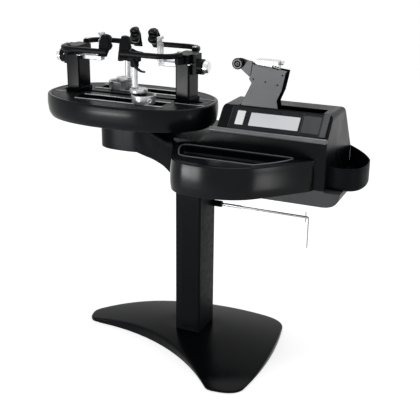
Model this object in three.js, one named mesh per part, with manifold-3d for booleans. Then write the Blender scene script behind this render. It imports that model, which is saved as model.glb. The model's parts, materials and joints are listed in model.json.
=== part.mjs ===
// A racket stringing machine on a column: an oval turntable that holds the racket, an electric
// tension head that pulls the string along X, a tool tray and a side bin.
// Millimetres, +Z up. The origin is on the floor under the axis of the column, +X runs from the
// turntable towards the tension head and -Y faces the operator.
import * as THREE from 'three';
import { mergeVertices } from 'three/addons/utils/BufferGeometryUtils.js';
import Module from 'manifold-3d';

const wasm = await Module();
wasm.setup();

// Fits that every piece shares
const seat = 0.3; // air between two pieces that rest on each other
const slide = 0.4; // air round a piece that slides or turns
const overrun = 5; // how far a cutter runs past the face that it cuts

// Stand
const sole = { thickness: 3, inset_share: 0.955 };
const base = {
  length: 725, width: 564, crown: 43, edge: 7, plateau: 100, reach: 430, reach_back: 300, wall: 9,
};
const column = { width: 96, depth: 132, corner: 20, wall: 4, height: 593.7 };
const groove = { width: 6, depth: 1.6, back: 18 };
const stripe = { width: 74, thickness: 2.5, foot: 14, head: 8, corner: 4 };
const rod = { radius: 4, sleeve: 5.5, sleeve_length: 70, length: 336, back: 40, drop: 137 };
const rodPin = { radius: 2, height: 34, setback: 7 };
const collar = { radius: 11, length: 34 };
const chain = { bead: 2.3, link: 1, pitch: 5.6 };

// Housing on top of the column, measured from the axis of the column
const turntable = { offset: 240 };
const arm = {
  half_width: 70, hub: 105, hub_half: 77, hub_lift: 37.4, hub_height: 93, rise: 5, neck_drop: 31,
};
const armRun = { beam_start: 28, neck_end: 60, hub_end: 130 };
const beam = { height: 54.4, end: 4, wall: 8 };
const gusset = { height: 36, length: 112 };
const consoleBox = { left: 40, length: 510, front: 88, depth: 313, height: 225, wall: 4 };
const slot = { left: 158, length: 278, front: 21, width: 57, depth: 16 };
const belly = { start: 60, depth: 54, right: 50, turn: 58, corner: 30, wall: 4 };
const tray = { left: 38, length: 478, reach: 208, height: 99, lift: 95.4, wall: 4, recess: 30, floor: 4 };
const bin = { reach: 105, length: 286, front: 57, height: 74, lift: 69.4, wall: 4 };
const panel = { left: 141, length: 314, height: 79, foot: 3, thickness: 2, corner: 6 };
const lcd = { left: 68, length: 161, height: 47, foot: 14, thickness: 1.2, corner: 2 };
const lamp = { left: 22, length: 27, height: 50, foot: 14, thickness: 1.2, corner: 2 };
const inlet = { x: 400, lift: 38, width: 48, height: 28, body: 30, body_height: 20, depth: 26, flange: 2.5 };
const socket = { width: 22, height: 12, depth: 16 };
const rocker = { x: 340, width: 22, height: 14, depth: 11, stand: 3 };

// Drive that pulls the string, carried on the beam inside the console
const rail = { left: 162, length: 262, width: 30, height: 14 };
const carriage = { left: 175, length: 105, width: 48, height: 30 };
const screw = { radius: 6.5, left: 142, length: 288 };
const bearing = { left: 145, length: 15, width: 40, height: 44 };
const motor = { length: 31, width: 50 };
const plate = { thickness: 4, front: 18, back: 14, bolt: 3 };
const head = { left: 163, length: 150, height: 256 };
const jaw = { left: 46, length: 74, gap: 1, leg: 9, ledge: 19, height: 42, ledge_height: 13, lift: 16 };
const jawPin = { radius: 2.5, from_end: 12, drop: 24 };
const ring = { radius: 9, bore: 4, length: 8, pin: 3.6 };
const roller = { left: 16, drop: 2, flange: 18, core: 11, back_flange: 15, front: 16, rim: 4, pin: 4 };
const bracket = { thickness: 4, length: 78, height: 68, left: 10, above: 14 };

// Turntable, measured from its own axis
const race = { radius: 62, bore: 25, thickness: 6.4 };
const pan = { length: 304, width: 189, height: 77, rim: 16, wall: 40 };
const deck = { thickness: 8, sink: 0.8, floor: 8 };
const towerSlot = { width: 24, end: 26 };
const clampSlot = { width: 61, length: 162, middle: 87 };

// Towers that hold the racket
const post = { inner: 181, thickness: 50, width: 76, height: 126.8, corner: 6, flange: 4, flange_height: 14 };
const bar = { tip: 108, end: 222, width: 25, height: 16.7, corner: 3 };
const yoke = {
  width: 92, height: 31, corner: 8, drop: 35, drop_width: 44, drop_thickness: 17, axis_drop: 10,
};
const lug = { radius: 14, out: 60, lift: 3, thickness: 20, pin: 5, pin_height: 21 };
const knob = { radius: 20.5, length: 19, stem: 8, stem_length: 30, collar: 25, collar_length: 18, dome: 4 };
const sideArm = { width: 16, height: 17.6, boss: 12, elbow: 98, elbow_in: 8, out: 116, bend_in: 41, tip: 20 };
const pad = { middle: 35, length: 40, depth: 25, height: 50, lift: 8, corner: 8 };
const padGroove = { height: 14, depth: 12, lift: 29 };
const holder = { outer: 116, thickness: 12, width: 26, height: 76, foot_length: 24, foot: 10, notch: 5 };

// String clamps
const cup = { offset: 92, foot: 39.5, rim: 40.5, height: 28, recess: 35, recess_depth: 3, guide_length: 50 };
const disc = { offset: 67, middle: 75, radius: 30, height: 14.5 };
const clampPost = { offset: 49, middle: 66, radius: 10, bore: 6.4, height: 67, floor: 8 };
const clampHead = {
  stem: 6, stem_length: 56, collar: 15, collar_height: 16, left: 60, length: 82, width: 18,
};
const clampJaw = { height: 19, slit: 1.2, slit_length: 26, slit_depth: 11 };
const lever = { width: 9, thickness: 6, reach: 43, drop: 39, pin: 3, pin_depth: 7, below: 8 };

// Levels above the floor that follow from these sizes
const base_foot = sole.thickness + seat;
const base_top = base_foot + base.crown;
const column_foot = base_top + seat;
const column_top = column_foot + column.height;
const beam_foot = column_top + seat + arm.rise;
const beam_top = beam_foot + beam.height;
const hub_top = beam_foot + arm.hub_lift + arm.hub_height;
const neck_top = hub_top - arm.neck_drop;
const console_foot = beam_foot;
const console_top = console_foot + consoleBox.height;
const console_back = consoleBox.depth - consoleBox.front;
const console_right = consoleBox.length - consoleBox.left;
const bin_top = console_foot + bin.lift;
const bin_foot = bin_top - bin.height;
const tray_top = console_foot + tray.lift;
const carriage_foot = beam_top + seat + rail.height + slide;
const screw_level = carriage_foot + carriage.height / 2;
const head_foot = carriage_foot + carriage.height + seat;
const head_top = head_foot + head.height;
const jaw_top = head_top + jaw.lift;
const pan_foot = hub_top + seat + race.thickness + seat;
const pan_top = pan_foot + pan.height;
const deck_top = pan_top - deck.sink;
const deck_foot = deck_top - deck.thickness;
const tower_slot_length = pan.length - pan.rim - towerSlot.end;
const post_foot = deck_top + slide;
const post_top = post_foot + post.height;
const post_outer = post.inner + post.thickness;
const bar_foot = post_top - bar.height;
const yoke_foot = post_top + seat;
const yoke_top = yoke_foot + yoke.height;
const lug_top = yoke_foot + lug.lift + lug.thickness;
const arm_foot = lug_top + slide;
const pad_foot = arm_foot + pad.lift;
const groove_level = pad_foot + padGroove.lift;
const pivot = post.inner + post.thickness / 2;
const cup_foot = deck_top + slide;
const cup_top = cup_foot + cup.height;
const disc_top = cup_top + slide + disc.height;
const clamp_post_top = disc_top + seat + clampPost.height;
const clamp_head_foot = clamp_post_top + slide;
const clamp_jaw_foot = clamp_head_foot + clampHead.collar_height;

// Materials
function finish(color, roughness, metalness) {
  return new THREE.MeshStandardMaterial({ color, roughness, metalness });
}
const paint = finish(0x0b0d11, 0.25, 0.2);
const plastic = finish(0x14161a, 0.5, 0);
const rubber = finish(0x101010, 0.9, 0);
const chrome = finish(0xd5d8da, 0.12, 1);
const satin = finish(0x8f9294, 0.4, 0.9);
const plateSteel = finish(0x64686a, 0.45, 0.8);
const clear = finish(0xe8ecee, 0.15, 0);
const white = finish(0xf2f2f0, 0.4, 0);
const screen = finish(0xc6cac8, 0.2, 0);

// Solids and meshes
function toManifold(geometry) {
  const bare = geometry.clone();
  bare.deleteAttribute('normal');
  bare.deleteAttribute('uv');
  const merged = mergeVertices(bare, 1e-4);
  const vertProperties = new Float32Array(merged.attributes.position.array);
  const triVerts = new Uint32Array(merged.index.array);
  return new wasm.Manifold(new wasm.Mesh({ numProp: 3, vertProperties, triVerts }));
}

function toGeometry(solid) {
  const mesh = solid.getMesh();
  const geometry = new THREE.BufferGeometry();
  geometry.setAttribute('position', new THREE.BufferAttribute(new Float32Array(mesh.vertProperties), 3));
  geometry.setIndex(new THREE.BufferAttribute(new Uint32Array(mesh.triVerts), 1));
  geometry.computeVertexNormals();
  return geometry;
}

function piece(name, shape, material) {
  const geometry = shape.isBufferGeometry ? shape : toGeometry(shape);
  const mesh = new THREE.Mesh(geometry, material);
  mesh.name = name;
  return mesh;
}

function box(x0, x1, y0, y1, z0, z1) {
  const geometry = new THREE.BoxGeometry(x1 - x0, y1 - y0, z1 - z0);
  return toManifold(geometry.translate((x0 + x1) / 2, (y0 + y1) / 2, (z0 + z1) / 2));
}

function polygon(points) {
  return new THREE.Shape(points.map(([x, y]) => new THREE.Vector2(x, y)));
}

// A shape drawn in plan and raised from z0 to z1
function prismZ(shape, z0, z1, curveSegments = 10) {
  const geometry = new THREE.ExtrudeGeometry(shape, { depth: z1 - z0, bevelEnabled: false, curveSegments });
  return toManifold(geometry.translate(0, 0, z0));
}

// A shape drawn in X and Z and extruded from y0 to y1
function prismY(shape, y0, y1, curveSegments = 10) {
  const geometry = new THREE.ExtrudeGeometry(shape, { depth: y1 - y0, bevelEnabled: false, curveSegments });
  return toManifold(geometry.rotateX(Math.PI / 2).translate(0, y1, 0));
}

// A shape drawn in Y and Z and extruded from x0 to x1
function prismX(shape, x0, x1, curveSegments = 10) {
  const geometry = new THREE.ExtrudeGeometry(shape, { depth: x1 - x0, bevelEnabled: false, curveSegments });
  const turn = new THREE.Matrix4().makeBasis(
    new THREE.Vector3(0, 1, 0), new THREE.Vector3(0, 0, 1), new THREE.Vector3(1, 0, 0));
  return toManifold(geometry.applyMatrix4(turn).translate(x0, 0, 0));
}

// A profile of radius and height turned about a vertical axis through x and y
function turnedZ(profile, x, y, segments = 40) {
  const points = profile.map(([radius, height]) => new THREE.Vector2(radius, height));
  const geometry = new THREE.LatheGeometry(points, segments).rotateX(Math.PI / 2);
  return toManifold(geometry.translate(x, y, 0));
}

// The same profile turned about an axis along X or along Y, its heights measured along that axis
function turnedX(profile, y, z, segments = 32) {
  const points = profile.map(([radius, height]) => new THREE.Vector2(radius, height));
  const geometry = new THREE.LatheGeometry(points, segments).rotateZ(-Math.PI / 2);
  return toManifold(geometry.translate(0, y, z));
}

function turnedY(profile, x, z, segments = 32) {
  const points = profile.map(([radius, height]) => new THREE.Vector2(radius, height));
  return toManifold(new THREE.LatheGeometry(points, segments).translate(x, 0, z));
}

// The profile of a plain round bar
function barProfile(radius, from, to) {
  return [[0, from], [radius, from], [radius, to], [0, to]];
}

function roundedRect(x0, x1, y0, y1, radius) {
  const shape = new THREE.Shape();
  shape.moveTo(x0 + radius, y0);
  shape.lineTo(x1 - radius, y0);
  shape.quadraticCurveTo(x1, y0, x1, y0 + radius);
  shape.lineTo(x1, y1 - radius);
  shape.quadraticCurveTo(x1, y1, x1 - radius, y1);
  shape.lineTo(x0 + radius, y1);
  shape.quadraticCurveTo(x0, y1, x0, y1 - radius);
  shape.lineTo(x0, y0 + radius);
  shape.quadraticCurveTo(x0, y0, x0 + radius, y0);
  return shape;
}

// A closed outline of straight and curved runs: each row is an end, or a control point and an end
function outline(start, rows, place) {
  const shape = new THREE.Shape();
  shape.moveTo(...place(start));
  for (const row of rows) {
    if (row.length === 2) shape.lineTo(...place(row));
    else shape.quadraticCurveTo(...place(row.slice(0, 2)), ...place(row.slice(2)));
  }
  return shape;
}

function superellipse(halfLength, halfWidth, count = 72) {
  const squareness = 2.3;
  const points = [];
  for (let i = 0; i < count; i += 1) {
    const angle = (2 * Math.PI * i) / count;
    const c = Math.cos(angle);
    const s = Math.sin(angle);
    const x = halfLength * Math.sign(c) * Math.abs(c) ** (2 / squareness);
    const y = halfWidth * Math.sign(s) * Math.abs(s) ** (2 / squareness);
    points.push([x, y]);
  }
  return polygon(points);
}

// A bar of constant width that follows a bent line, with round ends
function ribbon(points, width, endSteps = 6) {
  const path = points.map(([x, y]) => new THREE.Vector2(x, y));
  const last = path.length - 1;
  const half = width / 2;
  const directions = path.slice(1).map((point, i) => point.clone().sub(path[i]).normalize());
  const side = (i, sign) => {
    const before = directions[Math.max(i - 1, 0)];
    const after = directions[Math.min(i, last - 1)];
    const along = before.clone().add(after).normalize();
    const reach = (sign * half) / along.dot(before);
    return new THREE.Vector2(path[i].x - along.y * reach, path[i].y + along.x * reach);
  };
  const cap = (centre, start) => {
    const arc = [];
    for (let i = 1; i < endSteps; i += 1) {
      const angle = start - (Math.PI * i) / endSteps;
      arc.push(new THREE.Vector2(centre.x + half * Math.cos(angle), centre.y + half * Math.sin(angle)));
    }
    return arc;
  };
  const left = path.map((_, i) => side(i, 1));
  const right = path.map((_, i) => side(i, -1)).reverse();
  const far = cap(path[last], directions[last - 1].angle() + Math.PI / 2);
  const near = cap(path[0], directions[0].angle() - Math.PI / 2);
  return new THREE.Shape([...left, ...far, ...right, ...near]);
}

// The foot of the stand is a broad sheet, crowned in the middle, with a hollow front edge.
// Every outline below is in shares of the length and width that it follows.
const base_start_shares = [-0.513, -0.129];
const base_row_shares = [
  [-0.05, -0.126, 0.2455, -0.562],
  [0.262, -0.582, 0.2966, -0.576],
  [0.396, -0.567, 0.41, -0.488],
  [0.455, -0.106, 0.393, 0.275],
  [0.37, 0.37, 0.276, 0.378],
  [0.0276, 0.39, -0.251, 0.272],
  [-0.41, 0.205, -0.535, 0.045],
  [-0.57, 0.0055, -0.567, -0.03],
  [-0.5586, -0.1277, -0.513, -0.129],
];

function baseShape(inset_share) {
  const place = ([x, y]) => [x * base.length * inset_share, y * base.width * inset_share];
  return outline(base_start_shares, base_row_shares, place);
}

// The crown is flat under the column and falls away from it, faster to the back and front
function crownSolid(lower, steps, segs) {
  const lip = 1.2 * base.reach;
  const fall = base.crown - base.edge;
  const profile = [
    [0, base_foot - 2 * overrun], [lip, base_foot - 2 * overrun], [lip, base_top - lower - fall],
  ];
  const fall_power = 1.3;
  for (let i = steps; i >= 0; i -= 1) {
    const run_share = i / steps;
    const radius = base.plateau + (base.reach - base.plateau) * run_share;
    profile.push([radius, base_top - lower - fall * run_share ** fall_power]);
  }
  profile.push([0, base_top - lower]);
  const back_share = base.reach_back / base.reach;
  return turnedZ(profile, 0, 0, segs).transform([1, 0, 0, 0, 0, back_share, 0, 0, 0, 0, 1, 0, 0, 0, 0, 1]);
}

function makeBase() {
  const hollow_share = 0.93;
  const slab = prismZ(baseShape(1), base_foot, base_top + overrun);
  const core = prismZ(baseShape(hollow_share), base_foot - overrun, base_top + overrun, 4);
  const plateSolid = slab.intersect(crownSolid(0, 8, 60))
    .subtract(core.intersect(crownSolid(base.wall, 3, 24)));
  return [
    piece('base_plate', plateSolid, paint),
    piece('base_sole', prismZ(baseShape(sole.inset_share), 0, sole.thickness), rubber),
  ];
}

function makeColumn() {
  const x = column.width / 2;
  const y = column.depth / 2;
  const wall = column.wall;
  const outer = prismZ(roundedRect(-x, x, -y, y, column.corner), column_foot, column_top, 6);
  const hollow = roundedRect(-x + wall, x - wall, -y + wall, y - wall, column.corner - wall);
  let tube = outer.subtract(prismZ(hollow, column_foot - overrun, column_top + overrun, 6));
  for (const side of [-1, 1]) {
    const from = side > 0 ? x - groove.depth : -x - overrun;
    const to = side > 0 ? x + overrun : -x + groove.depth;
    const y0 = groove.back - groove.width / 2;
    tube = tube.subtract(box(from, to, y0, y0 + groove.width, column_foot - overrun, column_top + overrun));
  }
  const face = -y - seat;
  const shape = roundedRect(-stripe.width / 2, stripe.width / 2, column_foot + stripe.foot,
    column_top - stripe.head, stripe.corner);
  return [
    piece('column', tube, paint),
    piece('column_panel', prismY(shape, face - stripe.thickness, face, 4), paint),
  ];
}

// The reel rod sticks out of the side of the column, with a cross pin and a ball chain at its end
function makeReelRod() {
  const level = column_top - rod.drop;
  const start = column.width / 2 + seat;
  const collarEnd = start + collar.length;
  const rodStart = start + column.wall;
  const tip = rodStart + rod.length;
  const sleeveStart = collarEnd + seat;
  const bore = rod.radius + slide;
  const collarProfile = [[bore, start], [collar.radius, start], [collar.radius, collarEnd], [bore, collarEnd],
    [bore, start]];
  const rodProfile = [[0, rodStart], [rod.radius, rodStart], [rod.radius, sleeveStart],
    [rod.sleeve, sleeveStart], [rod.sleeve, sleeveStart + rod.sleeve_length],
    [rod.radius, sleeveStart + rod.sleeve_length], [rod.radius, tip], [0, tip]];
  const pin = turnedZ(barProfile(rodPin.radius, level - rodPin.height / 2, level + rodPin.height / 2),
    tip - rodPin.setback, rod.back, 12);
  const beads = 20;
  const bead_rise_shares = [0.9, 0.4];
  const chainProfile = [[0, level + chain.bead]];
  for (let i = 0; i < beads; i += 1) {
    const middle = level - i * chain.pitch;
    chainProfile.push([chain.link, middle + chain.bead * bead_rise_shares[0]]);
    chainProfile.push([chain.bead, middle + chain.bead * bead_rise_shares[1]]);
    chainProfile.push([chain.bead, middle - chain.bead * bead_rise_shares[1]]);
    chainProfile.push([chain.link, middle - chain.bead * bead_rise_shares[0]]);
  }
  chainProfile.push([0, level - (beads - 1) * chain.pitch - chain.bead]);
  const chainSolid = turnedZ(chainProfile.reverse(), tip + seat + chain.bead, rod.back, 8);
  return [
    piece('rod_collar', turnedX(collarProfile, rod.back, level), plastic),
    piece('reel_rod', turnedX(rodProfile, rod.back, level, 20).add(pin), chrome),
    piece('ball_chain', chainSolid, chrome),
  ];
}

// One casting stands on the column: a round hub under the turntable, a neck and a beam in the console
function makeSupportArm() {
  const end = console_right - consoleBox.wall - beam.end;
  const half = arm.half_width;
  const squareness = 2.8;
  const meet = Math.asin((half / arm.hub_half) ** (squareness / 2));
  const steps = 60;
  const plan = new THREE.Shape();
  plan.moveTo(end, -half);
  plan.lineTo(end, half);
  for (let i = 0; i <= steps; i += 1) {
    const angle = meet + ((2 * Math.PI - 2 * meet) * i) / steps;
    const [c, s] = [Math.cos(angle), Math.sin(angle)];
    plan.lineTo(-turntable.offset + arm.hub * Math.sign(c) * Math.abs(c) ** (2 / squareness),
      arm.hub_half * Math.sign(s) * Math.abs(s) ** (2 / squareness));
  }
  const left = -turntable.offset - arm.hub - overrun;
  const columnSide = column.width / 2 + seat;
  const hub_foot = beam_foot + arm.hub_lift;
  const bend_share = 0.35;
  const side = new THREE.Shape();
  side.moveTo(left, hub_foot);
  side.lineTo(-columnSide - gusset.length, hub_foot);
  const bend = -columnSide - gusset.length * bend_share;
  side.quadraticCurveTo(bend, hub_foot, -columnSide, column_top - gusset.height);
  side.lineTo(-columnSide, column_top + seat);
  side.lineTo(columnSide, column_top + seat);
  side.lineTo(columnSide, beam_foot);
  side.lineTo(end + overrun, beam_foot);
  side.lineTo(end + overrun, beam_top);
  side.lineTo(-armRun.beam_start, beam_top);
  side.lineTo(-armRun.beam_start, neck_top);
  side.lineTo(-armRun.neck_end, neck_top);
  side.lineTo(-armRun.hub_end, hub_top);
  side.lineTo(left, hub_top);
  const solid = prismZ(plan, column_top - gusset.height - overrun, hub_top + overrun, 40)
    .intersect(prismY(side, -arm.hub - overrun, arm.hub + overrun));
  const channel = box(columnSide + beam.wall, end - beam.wall, -half + beam.wall, half - beam.wall,
    beam_foot - overrun, beam_top - beam.wall);
  return [piece('support_arm', solid.subtract(channel), paint)];
}

// Console section in Y and Z: upright front, nosed edge, sloping panel, flat top, sloping back.
const section_row_shares = [
  [0, 0.644],
  [-0.006, 0.709, 0.026, 0.7156],
  [0.211, 0.9956],
  [0.224, 1, 0.243, 1],
  [0.6, 1],
  [0.64, 1, 0.665, 0.955],
  [1, 0.325],
  [1, 0],
];
const panel_foot_shares = [0.026, 0.7156];
const panel_head_shares = [0.211, 0.9956];
// Console outline in X and Z: a low shoulder at the left, then a flank that leans in to the top.
const flank_row_shares = [
  [0, 0.4978],
  [0.184, 0.4978],
  [0.288, 0.724],
  [0.288, 0.93],
  [0.288, 1, 0.31, 1],
  [0.96, 1],
  [1, 1, 1, 0.92],
  [1, 0],
];

// The body of the console, grown outwards or, with a negative value, shrunk to the inside of its walls
function consoleSolid(grow) {
  const foot = console_foot - overrun;
  const rise = consoleBox.height + grow + overrun;
  const depth = consoleBox.depth + 2 * grow;
  const length = consoleBox.length + 2 * grow;
  const sectionPlace = ([f, u]) => [-consoleBox.front - grow + f * depth, foot + u * rise];
  const flankPlace = ([l, u]) => [-consoleBox.left - grow + l * length, foot + u * rise];
  const section = outline([0, 0], section_row_shares, sectionPlace);
  const flank = outline([0, 0], flank_row_shares, flankPlace);
  const across = prismX(section, -consoleBox.left - grow - overrun, console_right + grow + overrun, 6);
  const along = prismY(flank, -consoleBox.front - grow - overrun, console_back + grow + overrun, 6);
  return across.intersect(along);
}

function makeConsole() {
  const wall = consoleBox.wall;
  const left = -consoleBox.left;
  const trim = box(left - overrun, console_right + overrun, -consoleBox.front - overrun,
    console_back + overrun, console_foot - 2 * overrun, console_foot);
  const half = arm.half_width + slide;
  let shell = consoleSolid(0).subtract(trim).subtract(consoleSolid(-wall));
  shell = shell.subtract(box(slot.left, slot.left + slot.length, -slot.front, slot.width - slot.front,
    console_top - slot.depth, console_top + overrun));
  shell = shell.subtract(box(left - overrun, left + wall + overrun, -half, half, console_foot - overrun,
    neck_top + slide));
  for (const [part, width, height] of [[inlet, inlet.body, inlet.body_height],
    [rocker, rocker.width, rocker.height]]) {
    const level = console_foot + inlet.lift;
    shell = shell.subtract(box(part.x - width / 2 - slide, part.x + width / 2 + slide,
      console_back - wall - overrun, console_back + overrun,
      level - height / 2 - slide, level + height / 2 + slide));
  }
  return [piece('console_housing', shell, paint), ...makeDisplay()];
}

function makeDisplay() {
  const [f0, u0] = panel_foot_shares;
  const [f1, u1] = panel_head_shares;
  const place = (f, u) => [-consoleBox.front + f * consoleBox.depth, console_foot - overrun
    + u * (consoleBox.height + overrun)];
  const [y0, z0] = place(f0, u0);
  const [y1, z1] = place(f1, u1);
  const group = new THREE.Group();
  group.position.set(panel.left, y0, z0);
  group.rotation.x = Math.atan2(z1 - z0, y1 - y0);
  const plateShape = roundedRect(0, panel.length, panel.foot, panel.foot + panel.height, panel.corner);
  group.add(piece('display_panel', prismZ(plateShape, seat, seat + panel.thickness, 4), plastic));
  const top = seat + panel.thickness + seat;
  for (const [name, size, material] of [['display_window', lcd, screen], ['status_window', lamp, white]]) {
    const foot = panel.foot + size.foot;
    const shape = roundedRect(size.left, size.left + size.length, foot, foot + size.height, size.corner);
    group.add(piece(name, prismZ(shape, top, top + size.thickness, 4), material));
  }
  return [group];
}

// The mains inlet and the rocker switch sit in the back wall of the console
function makePower() {
  const level = console_foot + inlet.lift;
  const outside = console_back + seat;
  const flange = box(inlet.x - inlet.width / 2, inlet.x + inlet.width / 2, outside, outside + inlet.flange,
    level - inlet.height / 2, level + inlet.height / 2);
  const body = box(inlet.x - inlet.body / 2, inlet.x + inlet.body / 2,
    outside - inlet.depth, outside + inlet.flange,
    level - inlet.body_height / 2, level + inlet.body_height / 2);
  const hole = box(inlet.x - socket.width / 2, inlet.x + socket.width / 2,
    outside + inlet.flange - socket.depth, outside + inlet.flange + overrun,
    level - socket.height / 2, level + socket.height / 2);
  const key = box(rocker.x - rocker.width / 2, rocker.x + rocker.width / 2,
    console_back + rocker.stand - rocker.depth, console_back + rocker.stand,
    level - rocker.height / 2, level + rocker.height / 2);
  return [
    piece('power_inlet', flange.add(body).subtract(hole), plastic),
    piece('power_switch', key, plastic),
  ];
}

// The belly closes the console from below and runs out under the side bin
function bellyShape(inset) {
  const left = belly.start + inset;
  const right = console_right - inset;
  const foot = console_foot - seat - belly.depth + inset;
  const top = inset > 0 ? console_foot + overrun : console_foot - seat;
  const shape = new THREE.Shape();
  shape.moveTo(left, top);
  shape.lineTo(left, foot + belly.corner);
  shape.quadraticCurveTo(left, foot, left + belly.corner, foot);
  if (inset === 0) {
    const out = right + belly.right;
    shape.lineTo(out - belly.turn, foot);
    shape.quadraticCurveTo(out, foot, out, bin_foot - seat);
    shape.lineTo(right, bin_foot - seat);
  } else {
    shape.lineTo(right - belly.corner, foot);
    shape.quadraticCurveTo(right, foot, right, foot + belly.corner);
  }
  shape.lineTo(right, top);
  return shape;
}

function makeBelly() {
  const front = -consoleBox.front;
  const shell = prismY(bellyShape(0), front, console_back)
    .subtract(prismY(bellyShape(belly.wall), front + belly.wall, console_back - belly.wall));
  return [piece('belly_cover', shell, paint)];
}

// The tray is a deep round-fronted box with a tool recess in its top
const tray_row_shares = [
  [0.021, 0.19, 0.1255, 0.73],
  [0.17, 0.96, 0.2615, 0.99],
  [0.523, 1.067, 0.68, 0.793],
  [0.722, 0.697, 0.805, 0.447],
  [0.941, 0.058, 1, 0],
];
const recess_start_shares = [0.125, 0.038];
const recess_row_shares = [
  [0.83, 0.038],
  [0.86, 0.045, 0.845, 0.11],
  [0.79, 0.37, 0.67, 0.606],
  [0.21, 0.615],
  [0.16, 0.615, 0.138, 0.48],
  [0.08, 0.19, 0.084, 0.09],
  [0.088, 0.038, 0.125, 0.038],
];

function trayPlace(inset) {
  const back = -consoleBox.front - seat - inset;
  const length = tray.length - 2 * inset;
  const reach = tray.reach - 2 * inset;
  return ([l, r]) => [-tray.left + inset + l * length, back - r * reach];
}

function makeTray() {
  const foot = tray_top - tray.height;
  const floor = tray_top - tray.recess;
  const body = prismZ(outline([0, 0], tray_row_shares, trayPlace(0)), foot, tray_top);
  const hollow = outline(recess_start_shares, recess_row_shares, trayPlace(0));
  const recess = prismZ(hollow, floor, tray_top + overrun, 8);
  const tip_share = 0.7;
  const [tip, back] = trayPlace(0)([tip_share, 0]);
  const inside = outline([0, 0], tray_row_shares, trayPlace(tray.wall));
  const under = prismZ(inside, foot - overrun, floor - tray.floor)
    .intersect(box(-tray.left, tip, back - tray.reach, back, foot - overrun, floor));
  return [piece('tool_tray', body.subtract(recess).subtract(under), paint)];
}

// The side bin has no inner wall: its floor and rim run up to the side of the console
const bin_row_shares = [
  [0.714, 0.724, 0.952, 0.479],
  [1.067, 0.269, 0.933, 0.129],
  [0.81, 0, 0.333, 0],
  [0, 0],
];

function binShape(inset) {
  const front = -bin.front + inset;
  const start = console_right + seat;
  const place = ([x, y]) => [start + x * (bin.reach - inset), front + y * (bin.length - 2 * inset)];
  const shape = outline([0, 1], bin_row_shares, place);
  shape.lineTo(start - inset, front);
  shape.lineTo(start - inset, front + bin.length - 2 * inset);
  return shape;
}

function makeBin() {
  const body = prismZ(binShape(0), bin_foot, bin_top);
  const hollow = prismZ(binShape(bin.wall), bin_foot + bin.wall, bin_top + overrun);
  return [piece('side_bin', body.subtract(hollow), paint)];
}

// Rail, carriage and screw that move the tension head, and the motor that turns the screw
function makeDrive() {
  const foot = beam_top + seat;
  const bore = turnedX(barProfile(screw.radius + slide, 0, console_right), 0, screw_level, 24);
  const half = screw_level - foot;
  const block = box(carriage.left, carriage.left + carriage.length, -carriage.width / 2, carriage.width / 2,
    carriage_foot, carriage_foot + carriage.height);
  const support = box(bearing.left, bearing.left + bearing.length, -bearing.width / 2, bearing.width / 2,
    foot, foot + bearing.height);
  const screwEnd = screw.left + screw.length;
  const can = box(screwEnd + seat, screwEnd + seat + motor.length, -motor.width / 2, motor.width / 2,
    foot, foot + 2 * half);
  return [
    piece('guide_rail', box(rail.left, rail.left + rail.length, -rail.width / 2, rail.width / 2,
      foot, foot + rail.height), satin),
    piece('carriage', block.subtract(bore), satin),
    piece('drive_screw', turnedX(barProfile(screw.radius, screw.left, screwEnd), 0, screw_level, 24), satin),
    piece('screw_bearing', support.subtract(bore), plastic),
    piece('drive_motor', can, plastic),
  ];
}

// Two steel plates carry the string gripper above the console
const front_plate_shares = [
  [0.033, 0], [0.813, 0], [0.827, 0.473], [0.787, 0.578], [0.887, 0.715], [0.933, 0.852], [0.953, 0.922],
  [0.987, 0.953], [0.213, 1], [0.207, 0.867], [0.167, 0.824], [0.227, 0.773], [0.093, 0.609], [0, 0.477],
];
const back_plate_shares = [
  [0.033, 0], [0.813, 0], [0.85, 0.473], [0.82, 0.578], [0.92, 0.72], [0.97, 0.86], [1, 0.955],
  [0.213, 1], [0.2, 0.85], [0.093, 0.609], [0, 0.477],
];
const plate_hole_shares = [[0.267, 0.824], [0.533, 0.801], [0.8, 0.777], [0.9, 0.9]];
const bracket_shares = [[0, 0.94], [0.19, 1], [0.87, 0.79], [1, 0.22], [0.68, 0], [0.04, 0.59]];

function makeTensionHead() {
  const place = ([x, z]) => [head.left + x * head.length, head_foot + z * head.height];
  let front = prismY(polygon(front_plate_shares.map(place)), -plate.front, plate.thickness - plate.front);
  for (const hole of plate_hole_shares) {
    const [x, z] = place(hole);
    const cutter = barProfile(plate.bolt, -plate.front - overrun, plate.thickness - plate.front + overrun);
    front = front.subtract(turnedY(cutter, x, z, 12));
  }
  const back = prismY(polygon(back_plate_shares.map(place)), plate.back - plate.thickness, plate.back);
  return [
    piece('arm_front_plate', front, plateSteel),
    piece('arm_back_plate', back, plastic),
    ...makeRoller(),
    ...makeGripper(),
  ];
}

// The string runs over this flanged roller, which turns on the pin of its bracket
function makeRoller() {
  const x = head.left - roller.left;
  const z = head_top - roller.drop;
  const from = -roller.front;
  const to = plate.back - seat;
  const bore = roller.pin + slide;
  const profile = [[bore, from], [roller.flange, from], [roller.flange, from + roller.rim],
    [roller.core, from + 2 * roller.rim], [roller.core, to - 2 * roller.rim],
    [roller.back_flange, to - roller.rim], [roller.back_flange, to], [bore, to], [bore, from]];
  const left = x - bracket.left;
  const bottom = z + bracket.above - bracket.height;
  const place = ([l, h]) => [left + l * bracket.length, bottom + h * bracket.height];
  const face = plate.back + seat;
  const web = prismY(polygon(bracket_shares.map(place)), face, face + bracket.thickness);
  const pin = turnedY(barProfile(roller.pin, from - seat, face + bracket.thickness), x, z, 20);
  const flanged = piece('string_roller', turnedY(profile, x, z, 36), plastic);
  return [piece('roller_bracket', web.add(pin), plateSteel), flanged];
}

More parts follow.
